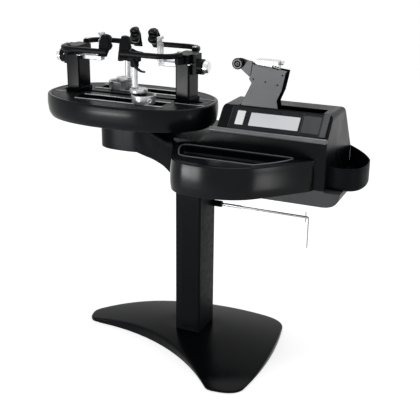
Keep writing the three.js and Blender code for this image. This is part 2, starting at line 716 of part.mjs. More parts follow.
// Two white jaws close on the string at y = 0, one fixed and one that slides away from it
function jawShape(side) {
  const out = (y) => side * y;
  const shoulder = jaw_top - jaw.ledge_height;
  return polygon([
    [out(jaw.gap), jaw_top - jaw.height], [out(jaw.gap + jaw.leg), jaw_top - jaw.height],
    [out(jaw.gap + jaw.leg), shoulder], [out(jaw.gap + jaw.ledge), shoulder],
    [out(jaw.gap + jaw.ledge), jaw_top], [out(jaw.gap), jaw_top],
  ]);
}

function makeGripper() {
  const left = head.left + jaw.left;
  const right = left + jaw.length;
  const y = jaw.gap + jaw.ledge / 2;
  const z = jaw_top - jaw.ledge_height / 2;
  const ringEnd = right + seat + ring.length;
  const pin = turnedX(barProfile(ring.pin, right - ring.length, ringEnd + seat), y, z, 20);
  const ringProfile = [[ring.bore, right + seat], [ring.radius, right + seat], [ring.radius, ringEnd],
    [ring.bore, ringEnd], [ring.bore, right + seat]];
  let fixedJaw = prismX(jawShape(1), left, right).add(pin);
  let movingJaw = prismX(jawShape(-1), left, right);
  for (const x of [left + jawPin.from_end, right - jawPin.from_end]) {
    const level = jaw_top - jawPin.drop;
    fixedJaw = fixedJaw.add(turnedY(barProfile(jawPin.radius, -jaw.leg, jaw.gap + seat), x, level, 16));
    const bore = barProfile(jawPin.radius + seat, -jaw.ledge, jaw.gap);
    movingJaw = movingJaw.subtract(turnedY(bore, x, level, 16));
  }
  return [
    piece('gripper_fixed_jaw', fixedJaw, white),
    piece('gripper_moving_jaw', movingJaw, white),
    piece('gripper_ring', turnedX(ringProfile, y, z, 24), chrome),
  ];
}

// The side of the pan is a soft bowl: every ring of points is narrowed by a share of its own
const pan_narrow_shares = [0.03, 0.012, 0.003, 0, 0.003, 0.016];

function panSolid() {
  const steps = pan_narrow_shares.length - 1;
  const geometry = new THREE.ExtrudeGeometry(superellipse(pan.length, pan.width),
    { depth: pan.height, steps, bevelEnabled: false });
  const position = geometry.attributes.position;
  for (let i = 0; i < position.count; i += 1) {
    const narrow_share = pan_narrow_shares[Math.round((position.getZ(i) / pan.height) * steps)];
    position.setXY(i, position.getX(i) * (1 - narrow_share), position.getY(i) * (1 - narrow_share));
  }
  return toManifold(geometry.translate(0, 0, pan_foot));
}

function makePan() {
  const well = superellipse(pan.length - pan.rim, pan.width - pan.rim);
  const under = superellipse(pan.length - pan.wall, pan.width - pan.wall, 48);
  const well_floor = deck_foot - seat;
  const skirt = prismZ(under, pan_foot - overrun, well_floor - deck.floor)
    .subtract(turnedZ(barProfile(race.radius, pan_foot - 2 * overrun, well_floor), 0, 0));
  const body = panSolid().subtract(prismZ(well, well_floor, pan_top + overrun)).subtract(skirt);
  const z0 = hub_top + seat;
  const z1 = z0 + race.thickness;
  const raceProfile = [
    [race.bore, z0], [race.radius, z0], [race.radius, z1], [race.bore, z1], [race.bore, z0],
  ];
  return [
    piece('turntable_bearing', turnedZ(raceProfile, -turntable.offset, 0), satin),
    ...placeOnTurntable([piece('turntable_pan', body, paint), makeDeck()]),
  ];
}

function makeDeck() {
  const edge = superellipse(pan.length - pan.rim - seat, pan.width - pan.rim - seat);
  let sheet = prismZ(edge, deck_foot, deck_top);
  const cuts = [[tower_slot_length, towerSlot.width, 0]];
  for (const side of [-1, 1]) {
    cuts.push([clampSlot.length, clampSlot.width, side * clampSlot.middle]);
  }
  for (const [half_length, width, middle] of cuts) {
    sheet = sheet.subtract(box(-half_length, half_length, middle - width / 2, middle + width / 2,
      deck_foot - overrun, deck_top + overrun));
  }
  return piece('deck_plate', sheet, plastic);
}

function placeOnTurntable(pieces, turn = 0) {
  const group = new THREE.Group();
  group.position.x = -turntable.offset;
  group.rotation.z = turn;
  group.add(...pieces);
  return [group];
}

// One tower, drawn to the right of the turntable axis; the left tower is the same, turned half round
function makePost(name) {
  const y = post.width / 2;
  const flange = post.flange;
  const shaft = prismZ(roundedRect(post.inner, post_outer, -y, y, post.corner), post_foot, post_top, 4);
  const footplate = roundedRect(post.inner - flange, post_outer + flange, -y - flange, y + flange,
    post.corner);
  const foot = prismZ(footplate, post_foot, post_foot + post.flange_height, 4);
  const tongue_half = towerSlot.width / 2 - slide;
  const tongue = box(post.inner, post_outer, -tongue_half, tongue_half,
    deck_foot + slide, post_foot + overrun);
  const channel_half = bar.width / 2 + slide;
  const channel = box(post.inner - overrun, post_outer + overrun, -channel_half, channel_half,
    bar_foot - slide, post_top + overrun);
  return piece(`${name}_post`, shaft.add(foot).add(tongue).subtract(channel), paint);
}

function makeYoke(name) {
  const y = yoke.width / 2;
  let solid = prismZ(roundedRect(post.inner, post_outer, -y, y, yoke.corner), yoke_foot, yoke_top, 4);
  for (const side of [-1, 1]) {
    const out = side * lug.out;
    const root = side * (y - lug.radius);
    const disk = turnedZ(barProfile(lug.radius, yoke_foot + lug.lift, lug_top), pivot, out, 24);
    const web = box(pivot - lug.radius, pivot + lug.radius, Math.min(root, out), Math.max(root, out),
      yoke_foot + lug.lift, lug_top);
    const pinProfile = barProfile(lug.pin, lug_top - lug.thickness / 2, lug_top + lug.pin_height);
    const pin = turnedZ(pinProfile, pivot, out, 20);
    solid = solid.add(disk).add(web).add(pin);
  }
  const axis = yoke_foot - yoke.axis_drop;
  const dropStart = post_outer + seat;
  const dropEnd = dropStart + yoke.drop_thickness;
  const half = yoke.drop_width / 2;
  const upper = box(post_outer - yoke.corner, dropEnd, -half, half, yoke_foot, yoke_top);
  const lower = box(dropStart, dropEnd, -half, half, yoke_foot - yoke.drop, yoke_foot + overrun);
  const sleeve = turnedX(barProfile(knob.collar, dropEnd - seat, dropEnd + knob.collar_length), 0, axis);
  const bore = turnedX(barProfile(knob.stem + slide, dropEnd + knob.collar_length - knob.stem_length - slide,
    dropEnd + knob.collar_length + overrun), 0, axis, 24);
  return piece(`${name}_yoke`, solid.add(upper).add(lower).add(sleeve).subtract(bore), paint);
}

function makeKnob(name) {
  const axis = yoke_foot - yoke.axis_drop;
  const face = post_outer + seat + yoke.drop_thickness + knob.collar_length + slide;
  const end = face + knob.length;
  const crown_share = 0.55;
  const profile = [[0, face - knob.stem_length], [knob.stem, face - knob.stem_length], [knob.stem, face],
    [knob.radius, face], [knob.radius, end - knob.dome], [knob.radius - knob.dome / 2, end - knob.dome / 4],
    [knob.radius * crown_share, end], [0, end]];
  return piece(`${name}_knob`, turnedX(profile, 0, axis), chrome);
}

function makeSideArm(name, side) {
  const bend = pivot - sideArm.bend_in;
  const line = [[pivot, side * lug.out], [pivot - sideArm.elbow_in, side * sideArm.elbow],
    [bend, side * sideArm.out], [sideArm.tip, side * sideArm.out]];
  const top = arm_foot + sideArm.height;
  const strap = prismZ(ribbon(line, sideArm.width), arm_foot, top);
  const boss = turnedZ(barProfile(sideArm.boss, arm_foot, top), pivot, side * lug.out, 24);
  const bore = barProfile(lug.pin + slide, arm_foot - overrun, top + overrun);
  const hole = turnedZ(bore, pivot, side * lug.out, 20);
  return piece(`${name}_arm`, strap.add(boss).subtract(hole), plastic);
}

// A side pad is a block with a round-cornered groove that takes the racket frame
function makeSidePad(name, side) {
  const outer = sideArm.out - sideArm.width / 2 - seat;
  const inner = outer - pad.depth;
  const top = pad_foot + pad.height;
  const c = pad.corner;
  const g0 = groove_level - padGroove.height / 2;
  const g1 = groove_level + padGroove.height / 2;
  const deep = inner + padGroove.depth;
  const shape = new THREE.Shape();
  const at = (y) => side * y;
  shape.moveTo(at(outer), pad_foot);
  shape.lineTo(at(outer), top - c);
  shape.quadraticCurveTo(at(outer), top, at(outer - c), top);
  shape.lineTo(at(inner + c), top);
  shape.quadraticCurveTo(at(inner), top, at(inner), top - c);
  shape.lineTo(at(inner), g1);
  shape.lineTo(at(deep), g1);
  shape.lineTo(at(deep), g0);
  shape.lineTo(at(inner), g0);
  shape.lineTo(at(inner), pad_foot + c);
  shape.quadraticCurveTo(at(inner), pad_foot, at(inner + c), pad_foot);
  const solid = prismX(shape, pad.middle - pad.length / 2, pad.middle + pad.length / 2, 4);
  return piece(`${name}_pad`, solid, plastic);
}

function makeBarAndHolder(name) {
  const half = bar.width / 2;
  const tongue = prismX(roundedRect(-half, half, bar_foot, post_top, bar.corner), bar.tip, bar.end, 4);
  const foot = post_top + seat;
  const inner = holder.outer - holder.thickness;
  const g0 = groove_level - padGroove.height / 2;
  const g1 = groove_level + padGroove.height / 2;
  const shape = polygon([
    [inner, foot], [inner + holder.foot_length, foot], [inner + holder.foot_length, foot + holder.foot],
    [holder.outer, foot + holder.foot], [holder.outer, g0], [holder.outer - holder.notch, g0],
    [holder.outer - holder.notch, g1], [holder.outer, g1], [holder.outer, foot + holder.height],
    [inner, foot + holder.height],
  ]);
  return [
    piece(`${name}_support_bar`, tongue, chrome),
    piece(`${name}_holder`, prismY(shape, -holder.width / 2, holder.width / 2), clear),
  ];
}

function makeTower(name, turn) {
  const pieces = [makePost(name), makeYoke(name), makeKnob(name), ...makeBarAndHolder(name)];
  for (const side of [-1, 1]) {
    const place = (side < 0) === (turn === 0) ? 'front' : 'back';
    pieces.push(makeSideArm(`${name}_${place}`, side));
    pieces.push(makeSidePad(`${name}_${place}`, side));
  }
  return placeOnTurntable(pieces, turn);
}

// One string clamp, drawn in front of the turntable axis; the back clamp is turned half round
function makeClamp(name, turn) {
  const y = -clampSlot.middle;
  const guide_half = clampSlot.width / 2 - slide;
  const body = turnedZ([[0, cup_foot], [cup.foot, cup_foot], [cup.rim, cup_top], [cup.recess, cup_top],
    [cup.recess, cup_top - cup.recess_depth], [0, cup_top - cup.recess_depth]], cup.offset, y);
  const guide = box(cup.offset - cup.guide_length / 2, cup.offset + cup.guide_length / 2,
    y - guide_half, y + guide_half, deck_foot + slide, cup_foot + overrun);
  const swivel = turnedZ(barProfile(disc.radius, cup_top + slide, disc_top), disc.offset, -disc.middle, 36);
  const tubeFoot = disc_top + seat;
  const tube = turnedZ([[0, tubeFoot], [clampPost.radius, tubeFoot], [clampPost.radius, clamp_post_top],
    [clampPost.bore, clamp_post_top], [clampPost.bore, tubeFoot + clampPost.floor],
    [0, tubeFoot + clampPost.floor]], clampPost.offset, -clampPost.middle, 24);
  const pieces = [
    piece(`${name}_clamp_base`, body.add(guide), plastic),
    piece(`${name}_clamp_swivel`, swivel, chrome),
    piece(`${name}_clamp_post`, tube, chrome),
    makeClampHead(name),
    makeClampLever(name),
  ];
  return placeOnTurntable(pieces, turn);
}

function makeClampHead(name) {
  const x = clampPost.offset;
  const y = -clampPost.middle;
  const top = clamp_jaw_foot + clampJaw.height;
  const left = x - clampHead.left;
  const half = clampHead.width / 2;
  const stem_foot = clamp_head_foot - clampHead.stem_length;
  const stem = turnedZ(barProfile(clampHead.stem, stem_foot, clamp_head_foot + seat), x, y, 20);
  const flat = box(x - clampHead.collar, x + clampHead.collar, y - clampHead.collar - overrun, y - half,
    clamp_head_foot - overrun, clamp_jaw_foot + overrun);
  const cuff = turnedZ(barProfile(clampHead.collar, clamp_head_foot, clamp_jaw_foot + seat), x, y, 28)
    .subtract(flat);
  const front = roundedRect(left, left + clampHead.length, clamp_jaw_foot, top, half / 2);
  const block = prismY(front, y - half, y + half, 4);
  const slit = box(left - overrun, left + clampJaw.slit_length, y - clampJaw.slit / 2, y + clampJaw.slit / 2,
    top - clampJaw.slit_depth, top + overrun);
  const hole = turnedY(barProfile(lever.pin + slide, y - half - overrun, y - half + lever.pin_depth + slide),
    x, top - lever.below, 16);
  return piece(`${name}_clamp_head`, stem.add(cuff).add(block).subtract(slit).subtract(hole), plastic);
}

function makeClampLever(name) {
  const x = clampPost.offset;
  const y = -clampPost.middle;
  const z = clamp_jaw_foot + clampJaw.height - lever.below;
  const face = y - clampHead.width / 2 - slide;
  const line_shares = [[0, 0], [0.1, 0.3], [0.26, 0.62], [0.56, 0.86], [1, 1]];
  const line = line_shares.map(([reach, drop]) => [x + reach * lever.reach, z - drop * lever.drop]);
  const strap = prismY(ribbon(line, lever.width), face - lever.thickness, face);
  const pin = turnedY(barProfile(lever.pin, face - seat, face + slide + lever.pin_depth), x, z, 16);
  return piece(`${name}_clamp_lever`, strap.add(pin), plastic);
}

const half_turn = Math.PI;
const machine = new THREE.Group();
machine.name = 'racket_stringing_machine';
machine.add(
  ...makeBase(),
  ...makeColumn(),
  ...makeReelRod(),
  ...makeSupportArm(),
  ...makeConsole(),
  ...makePower(),
  ...makeBelly(),
  ...makeTray(),
  ...makeBin(),
  ...makeDrive(),
  ...makeTensionHead(),
  ...makePan(),
  ...makeTower('right', 0),
  ...makeTower('left', half_turn),
  ...makeClamp('front', 0),
  ...makeClamp('back', half_turn),
);

export default machine;
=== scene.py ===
# %% [markdown]
# A racket stringing machine, dressed around a CAD frame.
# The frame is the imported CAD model: it fixes every size, place and joint. Here each rigid part gets
# the rounded edges, finishes and small fittings that the real machine shows, and rides on its body.

# %% Load the frame and keep its box
import json

import bmesh
import bpy
import numpy as np
from mathutils import Matrix, Vector


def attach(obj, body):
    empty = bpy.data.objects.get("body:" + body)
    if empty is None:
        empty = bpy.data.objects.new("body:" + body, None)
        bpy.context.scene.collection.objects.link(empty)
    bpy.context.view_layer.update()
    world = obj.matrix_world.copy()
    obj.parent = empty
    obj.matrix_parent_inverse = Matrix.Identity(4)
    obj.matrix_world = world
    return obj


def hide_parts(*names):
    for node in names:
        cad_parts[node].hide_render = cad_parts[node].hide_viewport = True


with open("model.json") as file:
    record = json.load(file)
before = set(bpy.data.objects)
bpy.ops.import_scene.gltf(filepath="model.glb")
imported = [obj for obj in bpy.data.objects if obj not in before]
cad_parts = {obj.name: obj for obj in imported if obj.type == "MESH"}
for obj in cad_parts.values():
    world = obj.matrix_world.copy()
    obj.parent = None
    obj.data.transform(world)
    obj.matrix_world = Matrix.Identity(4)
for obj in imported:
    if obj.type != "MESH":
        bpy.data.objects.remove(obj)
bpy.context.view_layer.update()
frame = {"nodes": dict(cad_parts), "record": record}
nodes = frame["nodes"]
body_of_node = {n: b for b, members in frame["record"]["behaviour"]["bodies"].items() for n in members}
slot_of_node = {row["node"]: row["material_slot"] for row in frame["record"]["subparts"]}

# %% [markdown]
# The camera stands where the photographer stood. Its place was worked out from the vertical edges of
# the column and the long edges of the console, which meet at two vanishing points. A camera is only
# a position, a direction, a roll and a focal length, so a few numbers and a short rotation are enough.

# %% Camera
CAMERA_PLACE = (1.0649, -2.3839, 1.4408)
CAMERA_AZIMUTH = 22.973
CAMERA_ELEVATION = 20.156
CAMERA_ROLL = 0.807
FOCAL_LENGTH = 69.22


def make_camera():
    """A camera that looks along the azimuth and elevation above, rolled a little as the photo is."""
    data = bpy.data.cameras.new("camera")
    data.lens = FOCAL_LENGTH
    data.sensor_width = 36.0
    data.clip_end = 60.0
    camera = bpy.data.objects.new("camera", data)
    bpy.context.scene.collection.objects.link(camera)
    pitch = Matrix.Rotation(np.radians(90.0 - CAMERA_ELEVATION), 4, "X")
    yaw = Matrix.Rotation(np.radians(CAMERA_AZIMUTH), 4, "Z")
    roll = Matrix.Rotation(np.radians(CAMERA_ROLL), 4, "Z")
    camera.matrix_world = Matrix.Translation(CAMERA_PLACE) @ yaw @ pitch @ roll
    bpy.context.scene.camera = camera
    return camera


camera = make_camera()
print("camera at", tuple(camera.location))

# %% [markdown]
# Materials are small node trees. Each one starts from the same Principled shader and adds what that
# finish has: a fine ripple in sprayed paint, grain in moulded plastic, brushed lines in steel. The
# patterns read Object coordinates, so they stay on the part when it moves.


# %% Shader helpers
def new_material(name, color, roughness, metallic=0.0, ior=1.5):
    """A Principled material, its node tree to add to and its shader; a low ior mirrors little."""
    material = bpy.data.materials.new(name)
    material.use_nodes = True
    tree = material.node_tree
    shader = tree.nodes["Principled BSDF"]
    shader.inputs["Base Color"].default_value = (*color, 1.0)
    shader.inputs["Roughness"].default_value = roughness
    shader.inputs["Metallic"].default_value = metallic
    shader.inputs["IOR"].default_value = ior
    return material, tree, shader


def object_coordinates(tree, stretch=(1.0, 1.0, 1.0)):
    """Object coordinates, stretched by a factor along each axis."""
    where = tree.nodes.new("ShaderNodeTexCoord")
    mapping = tree.nodes.new("ShaderNodeMapping")
    mapping.inputs["Scale"].default_value = stretch
    tree.links.new(where.outputs["Object"], mapping.inputs["Vector"])
    return mapping.outputs["Vector"]


def noise(tree, vector, scale, detail=3.0):
    """Soft random noise, scale patches to the metre."""
    node = tree.nodes.new("ShaderNodeTexNoise")
    node.inputs["Scale"].default_value = scale
    node.inputs["Detail"].default_value = detail
    tree.links.new(vector, node.inputs["Vector"])
    return node.outputs["Fac"]


def spread(tree, value, low, high):
    """Maps noise, which stays near one half, onto the range from low to high."""
    node = tree.nodes.new("ShaderNodeMapRange")
    node.inputs["From Min"].default_value = 0.3
    node.inputs["From Max"].default_value = 0.7
    node.inputs["To Min"].default_value = low
    node.inputs["To Max"].default_value = high
    tree.links.new(value, node.inputs["Value"])
    return node.outputs["Result"]


def bump(tree, shader, height, strength, distance):
    """Tilts the shading normal by the slope of a height."""
    node = tree.nodes.new("ShaderNodeBump")
    node.inputs["Strength"].default_value = strength
    node.inputs["Distance"].default_value = distance
    tree.links.new(height, node.inputs["Height"])
    tree.links.new(node.outputs["Normal"], shader.inputs["Normal"])


def tint(tree, shader, factor, dark, light):
    """Colours the surface between two tones by a factor."""
    node = tree.nodes.new("ShaderNodeMix")
    node.data_type = "RGBA"
    node.inputs[6].default_value = (*dark, 1.0)
    node.inputs[7].default_value = (*light, 1.0)
    tree.links.new(factor, node.inputs[0])
    tree.links.new(node.outputs[2], shader.inputs["Base Color"])


# %% [markdown]
# The studio is white all round, and black gloss mirrors it. The blacks therefore have a low ior, so
# that they stay black where they face a wall and catch the soft boxes where they turn towards them.

# %% Finishes of this machine
def sprayed_paint(name, dark, light, roughness, ior):
    """Gloss paint: slight patches in colour and gloss, and the ripple of sprayed lacquer."""
    material, tree, shader = new_material(name, light, roughness, 0.0, ior)
    place = object_coordinates(tree)
    tint(tree, shader, spread(tree, noise(tree, place, 6.0), 0.0, 1.0), dark, light)
    tree.links.new(spread(tree, noise(tree, place, 11.0, 5.0), roughness * 0.8, roughness * 1.25),
                   shader.inputs["Roughness"])
    bump(tree, shader, noise(tree, place, 420.0, 1.0), 0.04, 0.0003)
    return material


def moulded_plastic(name, dark, light, roughness, ior=1.36, grain=0.15):
    """Moulded plastic: fine spark-eroded grain, with a little wear in its gloss."""
    material, tree, shader = new_material(name, light, roughness, 0.0, ior)
    place = object_coordinates(tree)
    tint(tree, shader, spread(tree, noise(tree, place, 25.0), 0.0, 1.0), dark, light)
    tree.links.new(spread(tree, noise(tree, place, 60.0, 4.0), roughness * 0.85, roughness * 1.15),
                   shader.inputs["Roughness"])
    bump(tree, shader, noise(tree, place, 1500.0, 2.0), grain, 0.0002)
    return material


def brushed_metal(name, dark, light, roughness, along):
    """Metal with fine lines along one axis: noise stretched hard in that direction."""
    material, tree, shader = new_material(name, light, roughness, 1.0)
    stretch = [900.0, 900.0, 900.0]
    stretch[along] = 12.0
    lines = noise(tree, object_coordinates(tree, stretch), 1.0, 2.0)
    tint(tree, shader, spread(tree, lines, 0.0, 1.0), dark, light)
    tree.links.new(spread(tree, lines, roughness * 0.8, roughness * 1.3), shader.inputs["Roughness"])
    bump(tree, shader, lines, 0.08, 0.0001)
    return material


def metal_with_painted_groove_shade(name, painted_groove_shade, color, pitch, width):
    """Bright metal with a slanted dark stripe, painted shade for a groove, every pitch metres, width of it
    wide, along X and Y.
    """
    material, tree, shader = new_material(name, color, 0.3, 0.35)
    split = tree.nodes.new("ShaderNodeSeparateXYZ")
    tree.links.new(object_coordinates(tree, (1 / pitch, 0.6 / pitch, 1 / pitch)), split.inputs[0])
    value = split.outputs["X"]
    for operation, source in (("ADD", split.outputs["Y"]), ("FRACT", None), ("GREATER_THAN", width / pitch)):
        step = tree.nodes.new("ShaderNodeMath")
        step.operation = operation
        tree.links.new(value, step.inputs[0])
        if operation == "ADD":
            tree.links.new(source, step.inputs[1])
        elif operation == "GREATER_THAN":
            step.inputs[1].default_value = source
        value = step.outputs[0]
    tint(tree, shader, value, painted_groove_shade, color)
    return material


def rubber(name, dark, light):
    """Matte rubber with a dusty bloom."""
    material, tree, shader = new_material(name, light, 0.75)
    place = object_coordinates(tree)
    tint(tree, shader, spread(tree, noise(tree, place, 90.0, 5.0), 0.0, 1.0), dark, light)
    bump(tree, shader, noise(tree, place, 900.0, 3.0), 0.3, 0.0003)
    return material


def display_cover(name, color):
    """A clear cover over a pale display: smooth and coated, with faint patches in its tone."""
    material, tree, shader = new_material(name, color, 0.12)
    place = object_coordinates(tree, (2.0, 1.0, 9.0))
    tint(tree, shader, spread(tree, noise(tree, place, 1.2, 1.0), 0.0, 1.0),
         tuple(0.86 * c for c in color), color)
    shader.inputs["Coat Weight"].default_value = 1.0
    shader.inputs["Coat Roughness"].default_value = 0.03
    return material


def clear_plastic(name, color):
    """Thick clear plastic, slightly milky at the core."""
    material, tree, shader = new_material(name, color, 0.12)
    place = object_coordinates(tree)
    tree.links.new(spread(tree, noise(tree, place, 70.0), 0.08, 0.2), shader.inputs["Roughness"])
    shader.inputs["Transmission Weight"].default_value = 0.55
    shader.inputs["IOR"].default_value = 1.46
    return material


def satin_metal(name, color, roughness, metallic):
    """Bead-blasted metal: part of its light is spread, so that it stays pale in front of dark things."""
    material, tree, shader = new_material(name, color, roughness, metallic)
    place = object_coordinates(tree)
    tree.links.new(spread(tree, noise(tree, place, 40.0, 4.0), roughness * 0.8, roughness * 1.2),
                   shader.inputs["Roughness"])
    bump(tree, shader, noise(tree, place, 1800.0, 2.0), 0.05, 0.0001)
    return material


paint = sprayed_paint("gloss black paint", (0.0022, 0.0026, 0.0036), (0.0036, 0.0042, 0.0056), 0.2, 1.15)
housing = sprayed_paint("gloss black housing", (0.003, 0.0035, 0.0046), (0.0046, 0.0053, 0.0068), 0.22, 1.2)
casting = sprayed_paint("satin black casting", (0.004, 0.0048, 0.006), (0.0065, 0.0075, 0.009), 0.3, 1.17)
plate_grey = sprayed_paint("satin grey plate", (0.15, 0.158, 0.163), (0.175, 0.183, 0.19), 0.42, 1.35)
black_plastic = moulded_plastic("black plastic", (0.004, 0.0046, 0.006), (0.0065, 0.0075, 0.009), 0.36, 1.13)
panel_plastic = moulded_plastic("panel plastic", (0.012, 0.0135, 0.017), (0.018, 0.02, 0.024), 0.3, 1.2)
white_plastic = moulded_plastic("white plastic", (0.74, 0.74, 0.72), (0.84, 0.84, 0.82), 0.35, 1.45)
black_rubber = rubber("black rubber", (0.008, 0.008, 0.0085), (0.013, 0.013, 0.014))
chrome = satin_metal("chrome", (0.78, 0.79, 0.8), 0.13, 0.82)
lobe_plastic = moulded_plastic("lobe plastic", (0.003, 0.0034, 0.0044), (0.005, 0.0056, 0.007),
                               0.2, 1.25, 0.05)
satin_ring = satin_metal("turned satin metal", (0.55, 0.56, 0.57), 0.3, 0.6)
chain_metal = satin_metal("chain metal", (0.24, 0.245, 0.25), 0.35, 0.5)
rod_metal = satin_metal("rod metal", (0.36, 0.37, 0.38), 0.25, 0.7)
matt_black = moulded_plastic("matt black cover", (0.0025, 0.003, 0.004), (0.004, 0.0045, 0.0055),
                             0.5, 1.14, 0.1)
arm_black = moulded_plastic("arm plastic", (0.003, 0.0034, 0.0044), (0.005, 0.0056, 0.007), 0.34, 1.15, 0.08)
console_black = sprayed_paint("console black", (0.003, 0.0035, 0.0046), (0.0046, 0.0053, 0.0068), 0.3, 1.16)
tray_gloss = sprayed_paint("tray gloss", (0.003, 0.0035, 0.0046), (0.0046, 0.0053, 0.0068), 0.2, 1.22)
# The belly cover is a dark grey plastic, made lighter than the other blacks as painted light from the pale
# floor below it.
belly_grey_painted_bounce_light = moulded_plastic("belly plastic, painted bounce light", (0.034, 0.036, 0.038), (0.044, 0.046, 0.048), 0.5, 1.4)
soft_grey = moulded_plastic("soft grey edge", (0.03, 0.032, 0.034), (0.04, 0.042, 0.044), 0.34, 1.5, 0.05)
label_plastic = moulded_plastic("label plastic", (0.03, 0.032, 0.035), (0.042, 0.044, 0.047), 0.45, 1.4, 0.05)
pale_metal = satin_metal("pale metal", (0.8, 0.81, 0.82), 0.25, 0.35)
bar_metal = satin_metal("bar metal", (0.4, 0.41, 0.42), 0.35, 0.4)
# The pale grey on the console nose and the tray lip is a painted highlight along those edges; on the roller
# hub and washer it is their own pale grey.
pale_grey_and_painted_highlight = moulded_plastic("pale grey, painted highlight edge", (0.12, 0.125, 0.13), (0.15, 0.155, 0.16), 0.34, 1.5, 0.05)
satin_steel = brushed_metal("satin steel", (0.42, 0.43, 0.45), (0.58, 0.59, 0.6), 0.3, 0)
# The dark stripes on the jaws are painted shade standing in for the grooves between the ribs.
ribbed = metal_with_painted_groove_shade("ribbed jaw with painted shade", (0.28, 0.28, 0.28), (0.82, 0.83, 0.84), 0.0088, 0.0016)
display_glass = display_cover("display cover", (0.8, 0.81, 0.84))
lamp_glass = display_cover("status cover", (0.97, 0.97, 0.98))
clear = clear_plastic("clear plastic", (0.9, 0.91, 0.92))
slot_material = {
    "gloss_paint": paint, "gloss_housing": housing, "cast_arm": casting, "black_plastic": black_plastic,
    "black_rubber": black_rubber, "chrome": chrome, "satin_steel": satin_steel, "plate_steel": plate_grey,
    "clear_plastic": clear, "white_plastic": white_plastic, "display": display_glass,
}
special_material = {
    "console_housing": console_black, "ball_chain": chain_metal,
    "display_panel": panel_plastic, "status_window": lamp_glass, "belly_cover": belly_grey_painted_bounce_light,
    "reel_rod": rod_metal,
    "right_yoke": arm_black, "left_yoke": arm_black, "right_support_bar": bar_metal,
    "left_support_bar": bar_metal, "gripper_fixed_jaw": ribbed, "gripper_moving_jaw": ribbed,
}
print("materials", len(bpy.data.materials))

# %% [markdown]
# Every new shape is a grid of points. The helpers below turn such a grid into a mesh: neighbours
# become quads, a closed direction joins its last line to its first, and an open tube gets a cap of
# triangles round the middle of its end. The object then takes its material and its CAD body.


# %% From a grid of points to a piece
def mesh_from_grid(name, points, close_u=False, close_v=True, caps=False):
    """Quads over points[u, v]; caps closes the first and last ring with a fan round its mean point."""
    rows, columns, _ = points.shape
    index = np.arange(rows * columns).reshape(rows, columns)
    u = index if close_u else index[:-1]
    up = np.roll(index, -1, axis=0)[: len(u)]
    v = (lambda a: a) if close_v else (lambda a: a[:, :-1])
    quads = np.stack([v(u), v(np.roll(u, -1, axis=1)), v(np.roll(up, -1, axis=1)), v(up)], axis=-1)
    verts = points.reshape(-1, 3)
    faces = quads.reshape(-1, 4).tolist()
    if caps:
        middles = np.stack([points[0].mean(axis=0), points[-1].mean(axis=0)])
        verts = np.vstack([verts, middles])
        first, last = index[0], index[-1]
        faces += np.stack([np.roll(first, -1), first, np.full(columns, rows * columns)], axis=-1).tolist()
        faces += np.stack([last, np.roll(last, -1), np.full(columns, rows * columns + 1)], axis=-1).tolist()
    mesh = bpy.data.meshes.new(name)
    mesh.from_pydata(verts.tolist(), [], faces)
    return mesh


def tidy_mesh(mesh, merge=1e-6, smooth_angle=40.0):
    """Merges doubles, turns the faces outwards and shades them smooth up to an angle."""
    work = bmesh.new()
    work.from_mesh(mesh)
    bmesh.ops.remove_doubles(work, verts=work.verts, dist=merge)
    bmesh.ops.dissolve_degenerate(work, dist=1e-7, edges=work.edges)
    bmesh.ops.recalc_face_normals(work, faces=work.faces)
    work.to_mesh(mesh)
    work.free()
    mesh.shade_smooth()
    mesh.set_sharp_from_angle(angle=np.radians(smooth_angle))


def add_piece(name, mesh, material, body, replaces=()):
    """Puts a mesh in the scene with its material, and lets it ride on a body and stand for nodes."""
    piece = bpy.data.objects.new(name, mesh)
    bpy.context.scene.collection.objects.link(piece)
    mesh.materials.clear()
    mesh.materials.append(material)
    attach(piece, body)
    if replaces:
        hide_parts(*replaces)
    return piece


def grid_piece(name, points, material, body, slot, replaces=(), smooth_angle=40.0, **closing):
    """A piece straight from a grid of points."""
    mesh = mesh_from_grid(name, points, **closing)
    tidy_mesh(mesh, smooth_angle=smooth_angle)
    return add_piece(name, mesh, material, body, replaces)


def apply_modifiers(piece):
    """Writes the modified shape into the mesh, so that the object needs no modifier any more."""
    shape = piece.evaluated_get(bpy.context.evaluated_depsgraph_get())
    mesh = bpy.data.meshes.new_from_object(shape)
    piece.modifiers.clear()
    piece.data = mesh
    return piece


# %% [markdown]
# Real edges are never sharp: a small radius catches a line of light along every fold and rim. A
# rigid CAD part with the right shape is therefore copied, its triangles are joined into flat faces,
# and a Bevel modifier rounds only the edges that turn by more than a chosen angle.


# %% Rounded copies of CAD parts
def rounded_copy(node, width, segments=3, material=None, edge_angle=32.0):
    """A copy of a node whose sharp edges are rounded by width, in metres, and that stands for it."""
    mesh = nodes[node].data.copy()
    mesh.name = node + "_rounded"
    work = bmesh.new()
    work.from_mesh(mesh)
    bmesh.ops.remove_doubles(work, verts=work.verts, dist=1e-5)
    bmesh.ops.dissolve_limit(work, angle_limit=np.radians(0.6), verts=work.verts, edges=work.edges)
    work.to_mesh(mesh)
    work.free()
    slot = slot_of_node[node]
    finish = material or special_material.get(node, slot_material[slot])
    piece = add_piece(node + "_rounded", mesh, finish, body_of_node[node], (node,))
    edge = piece.modifiers.new("rounded edges", "BEVEL")
    edge.width = width
    edge.segments = segments
    edge.limit_method = "ANGLE"
    edge.angle_limit = np.radians(edge_angle)
    edge.use_clamp_overlap = True
    edge.harden_normals = False
    mesh.shade_smooth()
    apply_modifiers(piece)
    piece.data.shade_smooth()
    piece.data.set_sharp_from_angle(angle=np.radians(38.0))
    normals = piece.modifiers.new("flat faces stay flat", "WEIGHTED_NORMAL")
    normals.keep_sharp = True
    return piece


